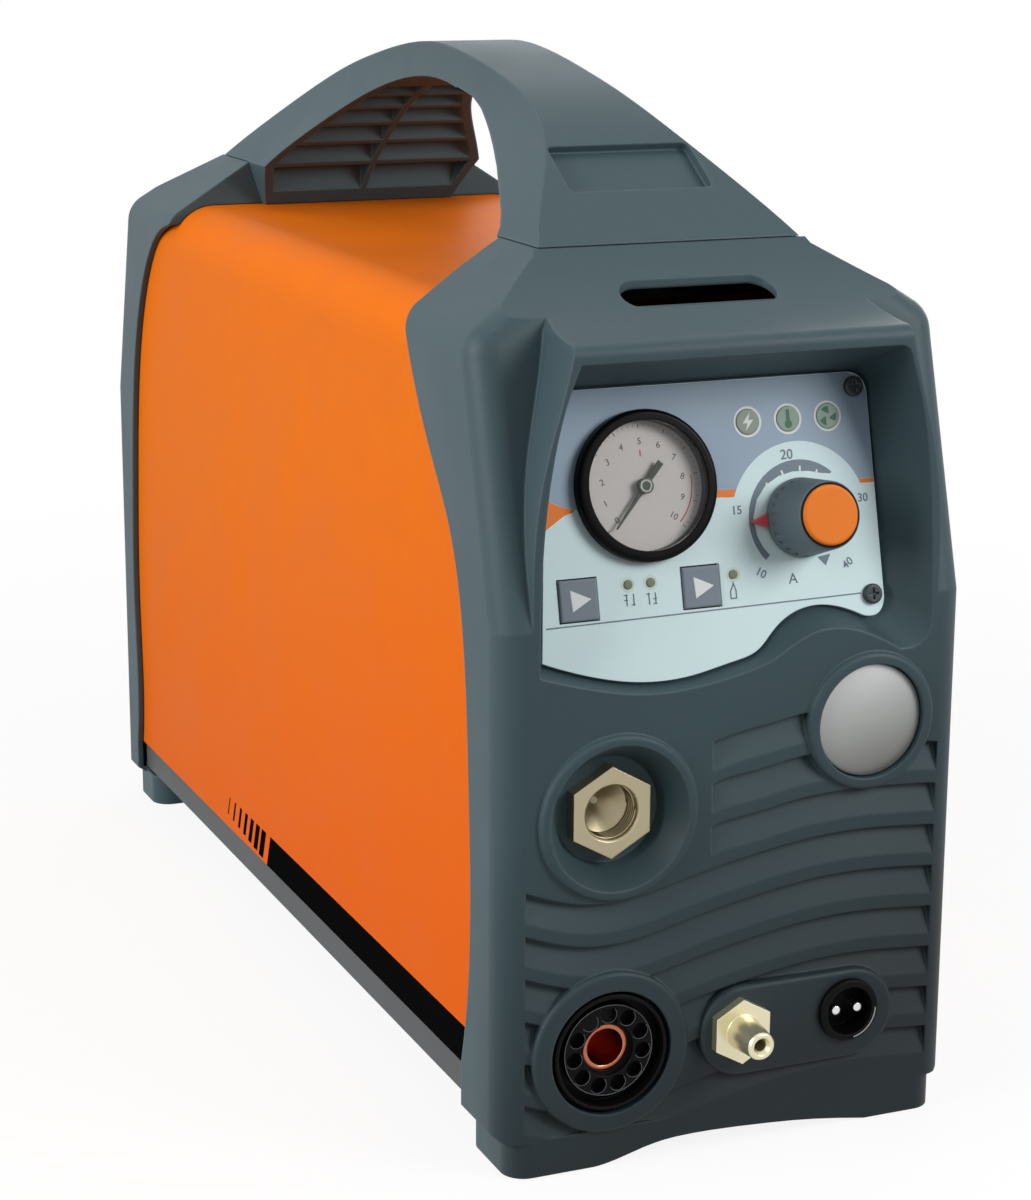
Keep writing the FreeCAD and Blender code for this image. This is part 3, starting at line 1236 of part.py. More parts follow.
def insulating_posts():
    """Posts from the tray to the heatsinks and on to the power board."""
    top = HEATSINK_BOTTOM + HEATSINK_HEIGHT
    posts = []
    for x in (-40, 40):
        for depth in (HEATSINK_FROM + 15, HEATSINK_TO - 15):
            posts.append(post(4.0, x, depth, TRAY_FLOOR, HEATSINK_BOTTOM))
            posts.append(post(4.0, x, depth, top, POWER_BOARD_HEIGHT))
    return group(posts)


def power_modules():
    """Switching modules on the heatsinks' webs and the mains rectifier on the board."""
    near, far = HEATSINK_OUT, HEATSINK_OUT + 5
    low, high = HEATSINK_BOTTOM + 10, HEATSINK_BOTTOM + 32
    blocks = []
    for share in (0.15, 0.44, 0.73):
        depth = HEATSINK_FROM + HEATSINK_RUN * share
        blocks.append(box(near, far, depth, depth + 34, low, high))
        blocks.append(box(-far, -near, depth, depth + 34, low, high))
    top = POWER_BOARD_HEIGHT + BOARD
    blocks.append(box(-58, -28, HEATSINK_TO - 65, HEATSINK_TO - 35, top, top + 11))
    return group(blocks)


def power_board():
    half = COVER_IN - 8
    level = POWER_BOARD_HEIGHT
    return box(-half, half, HEATSINK_FROM - 10, HEATSINK_TO + 3, level, level + BOARD)


def bus_capacitors():
    top = POWER_BOARD_HEIGHT + BOARD
    depths = [HEATSINK_FROM + HEATSINK_RUN * share for share in (0.12, 0.32, 0.52)]
    return group([post(15.0, 50, depth, top, top + 38) for depth in depths])


def transformer_core():
    """The main transformer's ferrite frame on the tray."""
    floor = TRAY_FLOOR
    core = box(-32, 32, 110, 140, floor, floor + 64)
    windows = [box(x, x + 12, 109, 141, floor + 12, floor + 52) for x in (-22, 10)]
    return cut(core, windows)


def transformer_winding():
    """Its winding about the middle leg."""
    low, high = TRAY_FLOOR + 12.3, TRAY_FLOOR + 51.7
    coil = box(-21.7, 21.7, 98.3, 151.7, low, high)
    coil = rounded(coil, 8, lambda middle, edge: abs(middle.z - (low + high) / 2) < 0.01)
    return coil.cut(box(-10.3, 10.3, 109.7, 140.3, low - 1, high + 1))


def output_choke():
    """The ring choke of the output, lying on the tray."""
    floor = TRAY_FLOOR
    ring = post(28, 40, 65, floor, floor + 22).cut(post(11, 40, 65, floor - 1, floor + 23))
    return rounded(ring, 4, lambda middle, edge: middle.z > floor + 21.9 or middle.z < floor + 0.1)


def bulkhead():
    """The steel wall between the front bay and the power bay."""
    floor = TRAY_FLOOR
    half = COVER_IN - 4
    wall = box(-half, half, 170, 170 + SHEET, floor, 136)
    foot_flange = box(-half, half, 160, 170, floor, floor + SHEET)
    vents = [box(x, x + 28, 169, 173, 36, 88) for x in (-62, -14, 34)]
    return cut(join([wall, foot_flange]), vents)


def case_screw_spots():
    """Across and depth of the screws from below, front and rear."""
    across = HALF - SCREW_INSET
    return [(x, depth) for x in (-across, across) for depth in (20.0, CASE_DEPTH - 20.0)]


def case_screws():
    """Screws of the bezels' skirts, of the handle's feet and of the rear bezel."""
    screws = []
    floor = TRAY_FLOOR
    for x, depth in case_screw_spots():
        screws.append(join([post(3.4, x, depth, SKIRT_HEIGHT - 2.4, SKIRT_HEIGHT),
                            post(1.8, x, depth, SKIRT_HEIGHT, floor + 6)]))
    under = SEAM_HEIGHT - TOP_WALL
    for x, depth in handle_screw_spots():
        screws.append(join([post(4.4, x, depth, under - 2.8, under),
                            post(2.4, x, depth, under, SEAM_HEIGHT + 9)]))
    for spot in rear_screw_spots():
        seat = CASE_DEPTH - 2.5
        head = rod(3.6, spot, seat, seat + 2.2)
        cross = [box(spot[0] - 2, spot[0] + 2, seat + 1.2, seat + 4, spot[1] - 0.5, spot[1] + 0.5),
                 box(spot[0] - 0.5, spot[0] + 0.5, seat + 1.2, seat + 4, spot[1] - 2, spot[1] + 2)]
        screws.append(cut(head.fuse(rod(1.6, spot, REAR_PANEL_DEPTH - 6, seat)), cross))
    return group(screws)


def handle_screw_spots():
    near = 74.0
    return [(x, depth) for x in (-30, 30) for depth in (near, CASE_DEPTH - near)]


def tray_screw_holes(radius, z0, z1):
    return [post(radius, x, depth, z0, z1) for x, depth in case_screw_spots()]


def handle_screw_holes(radius, z0, z1):
    return [post(radius, x, depth, z0, z1) for x, depth in handle_screw_spots()]


low_holes = tray_screw_holes(2.0, SKIRT_HEIGHT - 1, TRAY_HEIGHT + 3)
top_holes = handle_screw_holes(2.7, SEAM_HEIGHT - TOP_WALL - 1, SEAM_HEIGHT + 1)
grip_holes = handle_screw_holes(2.45, SEAM_HEIGHT, SEAM_HEIGHT + 9.3)
rear_holes = [rod(1.8, spot, REAR_PANEL_DEPTH, CASE_DEPTH + 1) for spot in rear_screw_spots()]
rear_holes += [rod(3.9, spot, CASE_DEPTH - 2.5, CASE_DEPTH + 1) for spot in rear_screw_spots()]
plate_holes = [on_panel(panel_rod(1.6, spot, BACK_DOWN - 1, 0)) for spot in PANEL_SCREW_AT]

save("front_bezel", cut(front_bezel(), low_holes + top_holes + plate_holes))
save("rear_bezel", cut(rear_bezel(), low_holes + top_holes + rear_holes))
save("cover", cover())
save("base_tray", cut(base_tray(), low_holes))
save("handle", cut(handle(), grip_holes))
save("case_screws", case_screws())
save("control_panel", control_panel())
save("panel_screws", panel_screws())
save("gauge_case", gauge_case())
save("gauge_dial", gauge_dial())
save("gauge_lens", gauge_lens())
save("gauge_movement", gauge_movement())
save("gauge_needle", gauge_needle())
save("gauge_stem", gauge_stem())
save("current_knob", current_knob())
save("knob_cap", knob_cap())
save("knob_pointer", knob_pointer())
save("pot_shaft", pot_shaft())
save("potentiometer", potentiometer())
for key_name, key_spot in KEY_AT.items():
    save(key_name, push_key(key_spot))
save("key_switches", key_switches())
save("panel_lamps", panel_lamps())
save("pilot_lamps", pilot_lamps())
save("lamp_leds", lamp_leds())
save("control_board", control_board())
save("board_standoffs", board_standoffs())
save("torch_outlet", torch_outlet())
save("front_lock_nuts", front_lock_nuts())
save("earth_socket", earth_socket())
save("earth_contact", earth_contact())
save("pilot_fitting", pilot_fitting())
save("trigger_socket", trigger_socket())
save("trigger_pins", trigger_pins())
save("badge", badge())
save("rear_panel", cut(rear_panel(), low_holes))
save("fan_frame", fan_frame())
save("fan_rotor", fan_rotor())
save("fan_guard", fan_guard())
save("fan_screws", fan_screws())
save("mains_switch", mains_switch())
save("mains_rocker", mains_rocker())
save("cable_gland", cable_gland())
save("gland_cap", gland_cap())
save("air_inlet", air_inlet())
save("rear_lock_nuts", rear_lock_nuts())
save("solenoid_valve", solenoid_valve())
save("air_regulator", air_regulator())
save("air_tube", air_tube())
save("gauge_tube", gauge_tube())
save("heatsinks", heatsinks())
save("insulating_posts", insulating_posts())
save("power_modules", power_modules())
save("power_board", power_board())
save("bus_capacitors", bus_capacitors())
save("transformer_core", transformer_core())
save("transformer_winding", transformer_winding())
save("output_choke", output_choke())
save("bulkhead", bulkhead())
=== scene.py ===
import math
import bpy
from mathutils import Matrix, Vector


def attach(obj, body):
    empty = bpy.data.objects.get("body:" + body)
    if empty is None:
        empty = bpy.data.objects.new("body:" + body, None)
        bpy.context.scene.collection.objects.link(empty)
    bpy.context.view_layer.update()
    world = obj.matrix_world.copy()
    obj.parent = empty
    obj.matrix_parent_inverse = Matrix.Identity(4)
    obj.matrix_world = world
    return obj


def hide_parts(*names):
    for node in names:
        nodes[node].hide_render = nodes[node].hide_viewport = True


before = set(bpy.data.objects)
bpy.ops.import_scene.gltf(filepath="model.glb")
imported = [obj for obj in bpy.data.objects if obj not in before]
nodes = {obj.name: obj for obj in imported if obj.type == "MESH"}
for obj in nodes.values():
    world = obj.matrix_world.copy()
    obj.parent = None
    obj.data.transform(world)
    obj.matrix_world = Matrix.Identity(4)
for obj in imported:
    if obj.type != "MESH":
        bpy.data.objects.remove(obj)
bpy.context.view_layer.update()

# The grey mouldings: front bezel, rear bezel and carrying handle.  Injection
# moulded plastic, coloured through, with a fine spark-eroded grain and edges
# painted paler, partly as the polish of handling and partly as painted highlight.


def tone(red, green, blue):
    """A colour as it looks on screen, turned into the shader's own scale."""
    scale = [c / 255 for c in (red, green, blue)]
    return tuple(c / 12.92 if c <= 0.04045 else ((c + 0.055) / 1.055) ** 2.4 for c in scale) + (1.0,)


def new_group(name, inputs, outputs):
    """An empty shader group with its named sockets; returns tree, input node and output node."""
    tree = bpy.data.node_groups.new(name, "ShaderNodeTree")
    for label, kind, value in inputs:
        socket = tree.interface.new_socket(label, in_out="INPUT", socket_type="NodeSocket" + kind)
        socket.default_value = value
    for label, kind in outputs:
        tree.interface.new_socket(label, in_out="OUTPUT", socket_type="NodeSocket" + kind)
    return tree, tree.nodes.new("NodeGroupInput"), tree.nodes.new("NodeGroupOutput")


def set_or_link(tree, socket, value):
    """Give a socket a plain value or another socket's output."""
    if isinstance(value, bpy.types.NodeSocket):
        tree.links.new(value, socket)
    else:
        socket.default_value = value


def add_math(tree, operation, first, second=0.0, clamp=False):
    """A math node between two sockets or plain numbers; returns its result."""
    node = tree.nodes.new("ShaderNodeMath")
    node.operation = operation
    node.use_clamp = clamp
    set_or_link(tree, node.inputs[0], first)
    set_or_link(tree, node.inputs[1], second)
    return node.outputs[0]


def mix_color(tree, factor, first, second):
    """A colour mix of two colours or sockets."""
    node = tree.nodes.new("ShaderNodeMix")
    node.data_type = "RGBA"
    set_or_link(tree, node.inputs["Factor"], factor)
    set_or_link(tree, [s for s in node.inputs if s.name == "A" and s.type == "RGBA"][0], first)
    set_or_link(tree, [s for s in node.inputs if s.name == "B" and s.type == "RGBA"][0], second)
    return [s for s in node.outputs if s.type == "RGBA"][0]


def carry(tree, source, from_low, from_high, low, high):
    """A number carried from one range to another, held at its ends."""
    node = tree.nodes.new("ShaderNodeMapRange")
    tree.links.new(source, node.inputs["Value"])
    for label, value in (("From Min", from_low), ("From Max", from_high), ("To Min", low), ("To Max", high)):
        node.inputs[label].default_value = value
    return node.outputs["Result"]


grain_group, grain_in, grain_out = new_group(
    "moulded grain",
    [("Grain Size", "Float", 0.0006), ("Depth", "Float", 0.00002), ("Soft Edge", "Float", 0.0008)],
    [("Normal", "Vector"), ("Cloud", "Float"), ("Edge", "Float"), ("Grain", "Float")])
place = grain_group.nodes.new("ShaderNodeTexCoord").outputs["Object"]
fine = grain_group.nodes.new("ShaderNodeTexNoise")
fine.inputs["Detail"].default_value = 2
grain_group.links.new(place, fine.inputs["Vector"])
grain_count = add_math(grain_group, "DIVIDE", 1.0, grain_in.outputs["Grain Size"])
grain_group.links.new(grain_count, fine.inputs["Scale"])
cloud = grain_group.nodes.new("ShaderNodeTexNoise")
cloud.inputs["Scale"].default_value = 26
cloud.inputs["Detail"].default_value = 4
grain_group.links.new(place, cloud.inputs["Vector"])
soft = grain_group.nodes.new("ShaderNodeBevel")
soft.samples = 6
grain_group.links.new(grain_in.outputs["Soft Edge"], soft.inputs["Radius"])
bump = grain_group.nodes.new("ShaderNodeBump")
bump.inputs["Strength"].default_value = 1.0
grain_group.links.new(grain_in.outputs["Depth"], bump.inputs["Distance"])
grain_group.links.new(fine.outputs["Fac"], bump.inputs["Height"])
grain_group.links.new(soft.outputs["Normal"], bump.inputs["Normal"])
flat_normal = grain_group.nodes.new("ShaderNodeNewGeometry").outputs["Normal"]
leaning = grain_group.nodes.new("ShaderNodeVectorMath")
leaning.operation = "DOT_PRODUCT"
grain_group.links.new(soft.outputs["Normal"], leaning.inputs[0])
grain_group.links.new(flat_normal, leaning.inputs[1])
edge = add_math(grain_group, "SUBTRACT", 1.0, leaning.outputs["Value"])
edge = add_math(grain_group, "MULTIPLY", edge, 8.0, clamp=True)
grain_group.links.new(bump.outputs["Normal"], grain_out.inputs["Normal"])
grain_group.links.new(cloud.outputs["Fac"], grain_out.inputs["Cloud"])
grain_group.links.new(edge, grain_out.inputs["Edge"])
grain_group.links.new(fine.outputs["Fac"], grain_out.inputs["Grain"])


def finish(name, base, wear_and_highlight, rough, grain=0.0006, depth=0.00002, soft_edge=0.0008, metal=0.0,
           gloss=0.3, speckle=0.05):
    """A finish with grain, a softly clouded colour and edges painted paler, partly wear and partly painted
    highlight; its lengths are in metres.
    """
    material = bpy.data.materials.new(name)
    material.use_nodes = True
    tree = material.node_tree
    shader = tree.nodes["Principled BSDF"]
    shader.inputs["Metallic"].default_value = metal
    shader.inputs["Specular IOR Level"].default_value = gloss
    group = tree.nodes.new("ShaderNodeGroup")
    group.node_tree = grain_group
    group.inputs["Grain Size"].default_value = grain
    group.inputs["Depth"].default_value = depth
    group.inputs["Soft Edge"].default_value = soft_edge
    darker = tuple(c * 0.94 for c in base[:3]) + (1.0,)
    lighter = tuple(min(c * 1.06, 1.0) for c in base[:3]) + (1.0,)
    body = mix_color(tree, group.outputs["Cloud"], darker, lighter)
    pitted = tuple(c * (1 - 4 * speckle) for c in base[:3]) + (1.0,)
    body = mix_color(tree, carry(tree, group.outputs["Grain"], 0.35, 0.2, 0.0, 0.5), body, pitted)
    # The edges take the paler colour: partly wear, partly painted highlight.
    edged = mix_color(tree, group.outputs["Edge"], body, wear_and_highlight)
    tree.links.new(edged, shader.inputs["Base Color"])
    tree.links.new(carry(tree, group.outputs["Cloud"], 0.2, 0.8, rough - 0.06, rough + 0.06),
                   shader.inputs["Roughness"])
    tree.links.new(group.outputs["Normal"], shader.inputs["Normal"])
    return material


def recolor(material, make):
    """Pass a finish's base colour through make(tree, colour) before it reaches the shader."""
    tree = material.node_tree
    socket = tree.nodes["Principled BSDF"].inputs["Base Color"]
    tree.links.new(make(tree, socket.links[0].from_socket), socket)


def along(tree, direction):
    """Distance along a direction, in metres."""
    spot = tree.nodes.new("ShaderNodeTexCoord").outputs["Object"]
    node = tree.nodes.new("ShaderNodeVectorMath")
    node.operation = "DOT_PRODUCT"
    tree.links.new(spot, node.inputs[0])
    node.inputs[1].default_value = direction
    return node.outputs["Value"]


def dress(names, material):
    """Give CAD nodes one finish."""
    for name in names:
        slots = nodes[name].data.materials
        slots.clear()
        slots.append(material)


moulding_grey = finish("moulded grey plastic", tone(62, 81, 87), tone(86, 104, 111), 0.5, soft_edge=0.0012,
                       depth=0.000025, gloss=0.26)


def darker_foot(tree, color):
    """Painted shade: the front face is painted a shade darker towards the floor."""
    low = carry(tree, along(tree, (-0.45, 0, 1)), 0.02, 0.155, 1.0, 0.0)
    front = carry(tree, along(tree, (0, 1, 0)), -0.226, -0.205, 0.9, 0.0)
    return mix_color(tree, add_math(tree, "MULTIPLY", low, front), color, tone(24, 31, 35))


# Painted shade on the mouldings' front face, darker towards the floor.
recolor(moulding_grey, darker_foot)
dress(["front_bezel", "rear_bezel", "handle"], moulding_grey)

# The cover: one sheet of steel bent over both sides and the top, with a
# smooth satin powder coat, a shade redder towards its lower edge.
# Depths and heights over which the painted shade under the vent slot sets in.
VENT_EDGE = (-0.1425, -0.1415)
VENT_HEIGHT = (0.270, 0.271)
cover_orange = finish("orange powder coat", tone(236, 117, 20), tone(242, 136, 50), 0.5, grain=0.0016,
                      depth=0.00003, soft_edge=0.0004, gloss=0.03, speckle=0.01)
recolor(cover_orange, lambda tree, color: mix_color(
    tree, carry(tree, along(tree, (0, 0.25, 1)), 0.03, 0.2, 0.65, 0.0), color, tone(238, 96, 20)))


def under_bezel(tree, color):
    """Painted shade: the cover's front edge, in the dark under the bezel's vent slot, is painted near black.
    """
    front = carry(tree, along(tree, (0, 1, 0)), *VENT_EDGE, 1.0, 0.0)
    top = carry(tree, along(tree, (0, 0, 1)), *VENT_HEIGHT, 0.0, 1.0)
    return mix_color(tree, add_math(tree, "MULTIPLY", front, top), color, tone(16, 16, 16))


# Painted shade on the cover under the bezel's vent slot.
recolor(cover_orange, under_bezel)
dress(["cover"], cover_orange)


def seat_on(point, right, up):
    """The place of a flat print: its middle, its own right and its own up, in metres."""
    right, up = Vector(right).normalized(), Vector(up).normalized()
    seat = Matrix((right, up, right.cross(up))).transposed().to_4x4()
    seat.translation = Vector(point)
    return seat


def alone(thing):
    """Select one object and nothing else."""
    bpy.ops.object.select_all(action="DESELECT")
    thing.select_set(True)
    bpy.context.view_layer.objects.active = thing


def ink(outlines, low, high):
    """A thin level film in millimetres: closed outlines, holes among them, from one height to another."""
    curve = bpy.data.curves.new("ink", "CURVE")
    curve.dimensions, curve.fill_mode, curve.extrude = "2D", "BOTH", (high - low) / 2000
    for outline in outlines:
        line = curve.splines.new("POLY")
        line.points.add(len(outline) - 1)
        for point, (x, y) in zip(line.points, outline):
            point.co = (x / 1000, y / 1000, 0, 1)
        line.use_cyclic_u = True
    film = bpy.data.objects.new("ink", curve)
    bpy.context.collection.objects.link(film)
    alone(film)
    bpy.ops.object.convert(target="MESH")
    film = bpy.context.object
    film.data.transform(Matrix.Translation((0, 0, (low + high) / 2000)))
    return film


def mend():
    """Merge the doubled points of the active mesh and turn its faces outwards."""
    bpy.ops.object.mode_set(mode="EDIT")
    bpy.ops.mesh.select_all(action="SELECT")
    bpy.ops.mesh.remove_doubles(threshold=0.000002)
    bpy.ops.mesh.normals_make_consistent(inside=False)
    bpy.ops.object.mode_set(mode="OBJECT")


def settle(name, films, seat, material, body):
    """Join level films into one piece, put it on its seat and let it ride on a body."""
    alone(films[0])
    for film in films:
        film.select_set(True)
    if len(films) > 1:
        bpy.ops.object.join()
    piece = bpy.context.object
    mend()
    piece.data.transform(seat)
    piece.name = name
    piece.data.name = name
    piece.data.materials.clear()
    piece.data.materials.append(material)
    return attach(piece, body)


# The black stripe printed along the foot of both side walls, with seven
# slanted bars that grow towards it from behind: a film on the cover's face.
COVER_FACE = 0.0812
STRIPE_LOW, STRIPE_TOP = 26.85, 40.4
STRIPE_FRONT, STRIPE_END = 197, -18.0
stripe_black = finish("stripe print", tone(14, 14, 14), tone(20, 20, 20), 0.6, depth=0.000004,
                      soft_edge=0.0001, gloss=0.0)
for side_name, side in (("left", -1), ("right", 1)):
    fronts = [[(STRIPE_FRONT, STRIPE_LOW), (STRIPE_FRONT, STRIPE_TOP), (STRIPE_END, STRIPE_TOP),
               (STRIPE_END - 5.2, STRIPE_LOW)]]
    for bar in range(7):
        top, wide = STRIPE_END - 5.5 - 8.0 * bar, 5.5 - 0.75 * bar
        rise = 12.3 - 0.7 * bar
        foot, lean = STRIPE_TOP - rise, 0.4 * rise
        fronts.append([(top, STRIPE_TOP), (top - wide, STRIPE_TOP), (top - wide - lean, foot),
                       (top - lean, foot)])
    films = [ink([[(-side * x, up) for x, up in outline]], 0, 0.08) for outline in fronts]
    settle("side_stripe_" + side_name, films, seat_on((side * COVER_FACE, 0, 0), (0, side, 0), (0, 0, 1)),
           stripe_black, "case")

# The folded tray that carries the works, the rear wall and the bulkhead:
# steel sheet in the same dark powder coat.
tray_dark = finish("dark powder coat", tone(88, 91, 92), tone(108, 111, 112), 0.55, grain=0.001,
                   depth=0.00003, gloss=0.15)
dress(["base_tray", "rear_panel", "bulkhead"], tray_dark)

# The control panel's plate: a pale plastic sheet, leaning back in the recess
# and held by two screws on its right.
PANEL_LEAN = math.radians(14)
PANEL_SEAT = seat_on((0, -0.2235, 0.1572), (1, 0, 0), (0, math.sin(PANEL_LEAN), math.cos(PANEL_LEAN)))
GAUGE_AT = (-25.9, 68.9)
KNOB_AT = (29.7, 54.3)
DIGIT_SHARE = 0.69
plate_pale = finish("pale panel sheet", tone(226, 250, 255), tone(232, 252, 255), 0.4, grain=0.0008,
                    depth=0.000003, soft_edge=0.0003, gloss=0.3, speckle=0.0)
dress(["control_panel"], plate_pale)


def around(middle, radius, turn):
    """The point at an angle in degrees round a middle, in millimetres."""
    turn = math.radians(turn)
    return (middle[0] + radius * math.cos(turn), middle[1] + radius * math.sin(turn))


def arc(middle, radius, start, end, steps):
    """Points along an arc, from one angle to another."""
    return [around(middle, radius, start + (end - start) * i / steps) for i in range(steps + 1)]


def ring(middle, outer, inner, points=24):
    """The two closed outlines of a ring, with as many points round each."""
    return [arc(middle, radius, 0, 360 - 360 / points, points - 1) for radius in (outer, inner)]


def letters(words, height, spot, low, high, turn=0.0, bold=0.0):
    """Numbers and signs as a thin level film: height and place in millimetres, turn in degrees."""
    bpy.ops.object.text_add()
    text = bpy.context.object
    text.data.body = words
    text.data.align_x, text.data.align_y = "CENTER", "CENTER"
    text.data.size = height / 1000 / DIGIT_SHARE
    text.data.resolution_u = 4
    text.data.offset = bold
    text.data.extrude = (high - low) / 2000
    bpy.ops.object.convert(target="MESH")
    film = bpy.context.object
    film.data.transform(Matrix.Translation((spot[0] / 1000, spot[1] / 1000, (low + high) / 2000)) @
                        Matrix.Rotation(math.radians(turn), 4, "Z"))
    return film


def bar_between(start, end, width, low, high):
    """A straight line of ink."""
    reach = math.hypot(end[0] - start[0], end[1] - start[1])
    dx, dy = (end[0] - start[0]) / reach * width / 2, (end[1] - start[1]) / reach * width / 2
    return ink([[(start[0] - dy, start[1] + dx), (end[0] - dy, end[1] + dx), (end[0] + dy, end[1] - dx),
                 (start[0] + dy, start[1] - dx)]], low, high)


# The plate's upper field: slate blue ink that runs round the gauge and the
# knob's scale, screen printed on the sheet.
field_print = finish("slate blue print", tone(158, 179, 198), tone(166, 186, 204), 0.4, grain=0.0008,
                     depth=0.000003, soft_edge=0.0001, gloss=0.3, speckle=0.0)
gauge_clear = arc(GAUGE_AT, 24.2, 0, 354, 59)
field_edge = ([(-57.7, 100.8), (-60.72, 71.6), (-59.9, 68.0), (-58.3, 65.9), (-55.0, 64.3), (-50.6, 63.2)] +
              arc(GAUGE_AT, 24.4, 195, 345, 30) + [(1.5, 65.4), (6.9, 65.3)] +
              arc(KNOB_AT, 25.2, 154.1, 26.5, 40) + [(53.0, 65.5), (58.0, 65.4)] +
              [(58.0, 94.0), (56.2, 99.0), (51.2, 100.8)])
settle("upper_field_print", [ink([field_edge, gauge_clear], 0, 0.04)], PANEL_SEAT, field_print, "case")

# The orange line under the field, in three lengths: a wedge at the left edge,
# a piece between gauge and scale and one at the right edge.


def printed(name, color, rough=0.45, depth=0.000003):
    """A thin, even printing ink of one colour."""
    return finish(name, color, color, rough, depth=depth, soft_edge=0.0001, speckle=0.0)


line_orange = printed("orange print", tone(250, 132, 40), 0.4)
wedge = [(-60.72, 71.5), (-61.0, 68.8), (-60.0, 67.9), (-58.4, 65.8), (-55.0, 64.2), (-50.7, 63.1),
         (-51.4, 62.4), (-54.6, 61.5), (-58.2, 59.3), (-61.9, 57.0)]
left_line = (arc(GAUGE_AT, 24.5, 352.2, 346.0, 3) + [(1.0, 63.2), (4.0, 62.9)] +
             arc(KNOB_AT, 25.2, 160.0, 154.2, 3))
right_line = arc(KNOB_AT, 25.2, 22.6, 26.4, 3) + [(53.0, 65.4), (58.0, 65.3), (58.0, 63.9), (54.6, 63.9)]
settle("field_line_print", [ink([line], 0, 0.05) for line in (wedge, left_line, right_line)], PANEL_SEAT,
       line_orange, "case")

# The knob's scale in grey ink: a crescent that is widest near its top, five
# numbers round it, a small triangle and the long line across the plate.
MARK = (0.05, 0.09)
INNER_EDGE = ((48, 18.4), (58, 16.6), (74, 15.7), (96, 15.4), (116, 15.8), (136, 16.6), (156, 17.2),
              (176, 17.5), (196, 17.3), (210, 17.1), (222, 17.0))
grey_print = printed("grey print", tone(118, 134, 146))
crescent = arc(KNOB_AT, 19.1, 222, 48, 60)
crescent += [around(KNOB_AT, reach, turn) for turn, reach in INNER_EDGE]
scale_marks = [ink([crescent], *MARK)]
scale_marks += [bar_between((-64.2, 26.3), (49.4, 27.6), 0.45, *MARK)]
scale_marks += [letters(words, height, spot, *MARK, turn, 0.00005) for words, height, spot, turn in (
    ("10", 2.7, (13.3, 37.4), -32), ("15", 2.7, (6.5, 58.4), 0), ("20", 3.2, (26.4, 75.2), 0),
    ("30", 2.7, (53.3, 59.0), 0), ("40", 2.7, (45.6, 37.9), 34))]
scale_marks += [ink([[(34.6, 40.9), (39.4, 41.6), (37.4, 37.9)]], *MARK)]
settle("scale_print", scale_marks, PANEL_SEAT, grey_print, "case")

# Small signs under the knob and the three small lamps: thin strokes of a
# darker grey ink, printed with the scale.
SIGN_BARS = ((-35.4, 34.5), (-35.4, 32.9), (-32.9, 31.3), (-27.5, 34.3), (-25.2, 32.6), (-25.2, 31.0))
dark_print = printed("dark print", tone(108, 122, 128))
small_marks = [letters("A", 3.4, (24.9, 34.5), *MARK)]
small_marks += [bar_between((x, 34.8), (x, 31.0), 0.38, *MARK) for x in (-35.4, -32.9)]
small_marks += [bar_between((x, 34.6), (x, 30.8), 0.38, *MARK) for x in (-27.5, -25.2)]
small_marks += [bar_between((x - 0.9, up), (x + 0.4, up), 0.32, *MARK) for x, up in SIGN_BARS]
bottle = [(2.5, 34.4), (2.9, 35.9), (3.3, 34.4), (3.9, 32.6), (3.9, 29.9), (1.5, 29.9), (1.5, 32.6)]
bottle_inside = [(2.7, 34.0), (3.1, 34.0), (3.5, 32.4), (3.5, 30.3), (1.9, 30.3), (1.9, 32.4)]
small_marks += [ink([bottle, bottle_inside], *MARK)]
settle("small_mark_print", small_marks, PANEL_SEAT, dark_print, "case")

# White marks, printed last: ticks on the knob's crescent and a ring round
# each of the three lamp windows.
white_print = printed("white print", tone(238, 244, 243))
LAMP_AT = ((13.1, 86.9), (27.9, 86.9), (42.7, 86.9))
TICKS = ((110, 15.2), (134, 15.4), (158, 16.0), (86, 15.0), (64, 15.6))
ticks = [bar_between(around(KNOB_AT, near, turn), around(KNOB_AT, 17.0, turn), 0.7, 0.09, 0.13)
         for turn, near in TICKS]
rings = [ink(ring(spot, 5.1, 4.32, 36), 0.05, 0.14) for spot in LAMP_AT]
settle("white_mark_print", ticks + rings, PANEL_SEAT, white_print, "case")

# The air gauge's cup, of glossy black plastic, pressed into the plate; the
# mains switch's rocker is of the same plastic.
gauge_black = finish("glossy black plastic", tone(11, 11, 12), tone(24, 24, 26), 0.3, depth=0.000003,
                     soft_edge=0.0006, gloss=0.06)
dress(["gauge_case", "mains_rocker"], gauge_black)

# The gauge's dial: a round sheet painted off-white, laid on the cup's floor
# under the needle.
dial_paper = finish("dial paint", tone(236, 231, 228), tone(236, 231, 228), 0.6, depth=0.000002, gloss=0.2,
                    speckle=0.0)
dress(["gauge_dial"], dial_paper)

# The dial's numbers from 0 to 10 and its scale of 50 divisions, printed in
# dark ink on the painted sheet.
DIAL_FACE = -0.7
DIAL_PRINT = (DIAL_FACE, DIAL_FACE + 0.05)
DIAL_START, DIAL_STEP = 226, 27.2
dial_dark = printed("dial print", tone(64, 64, 62), 0.6, 0.000002)
digits = []
for number in range(11):
    turn = DIAL_START - DIAL_STEP * number
    spot = around(GAUGE_AT, 14.4, turn)
    digits.append(letters(str(number), 2.1, spot, *DIAL_PRINT, (turn - 90) * 0.25))
for mark in range(51):
    turn = DIAL_START - DIAL_STEP * mark / 5
    inner, width = (18.6, 0.24) if mark % 5 == 0 else (19.2, 0.12)
    start, end = around(GAUGE_AT, inner, turn), around(GAUGE_AT, 19.9, turn)
    digits.append(bar_between(start, end, width, *DIAL_PRINT))
settle("dial_numbers", digits, PANEL_SEAT, dial_dark, "case")

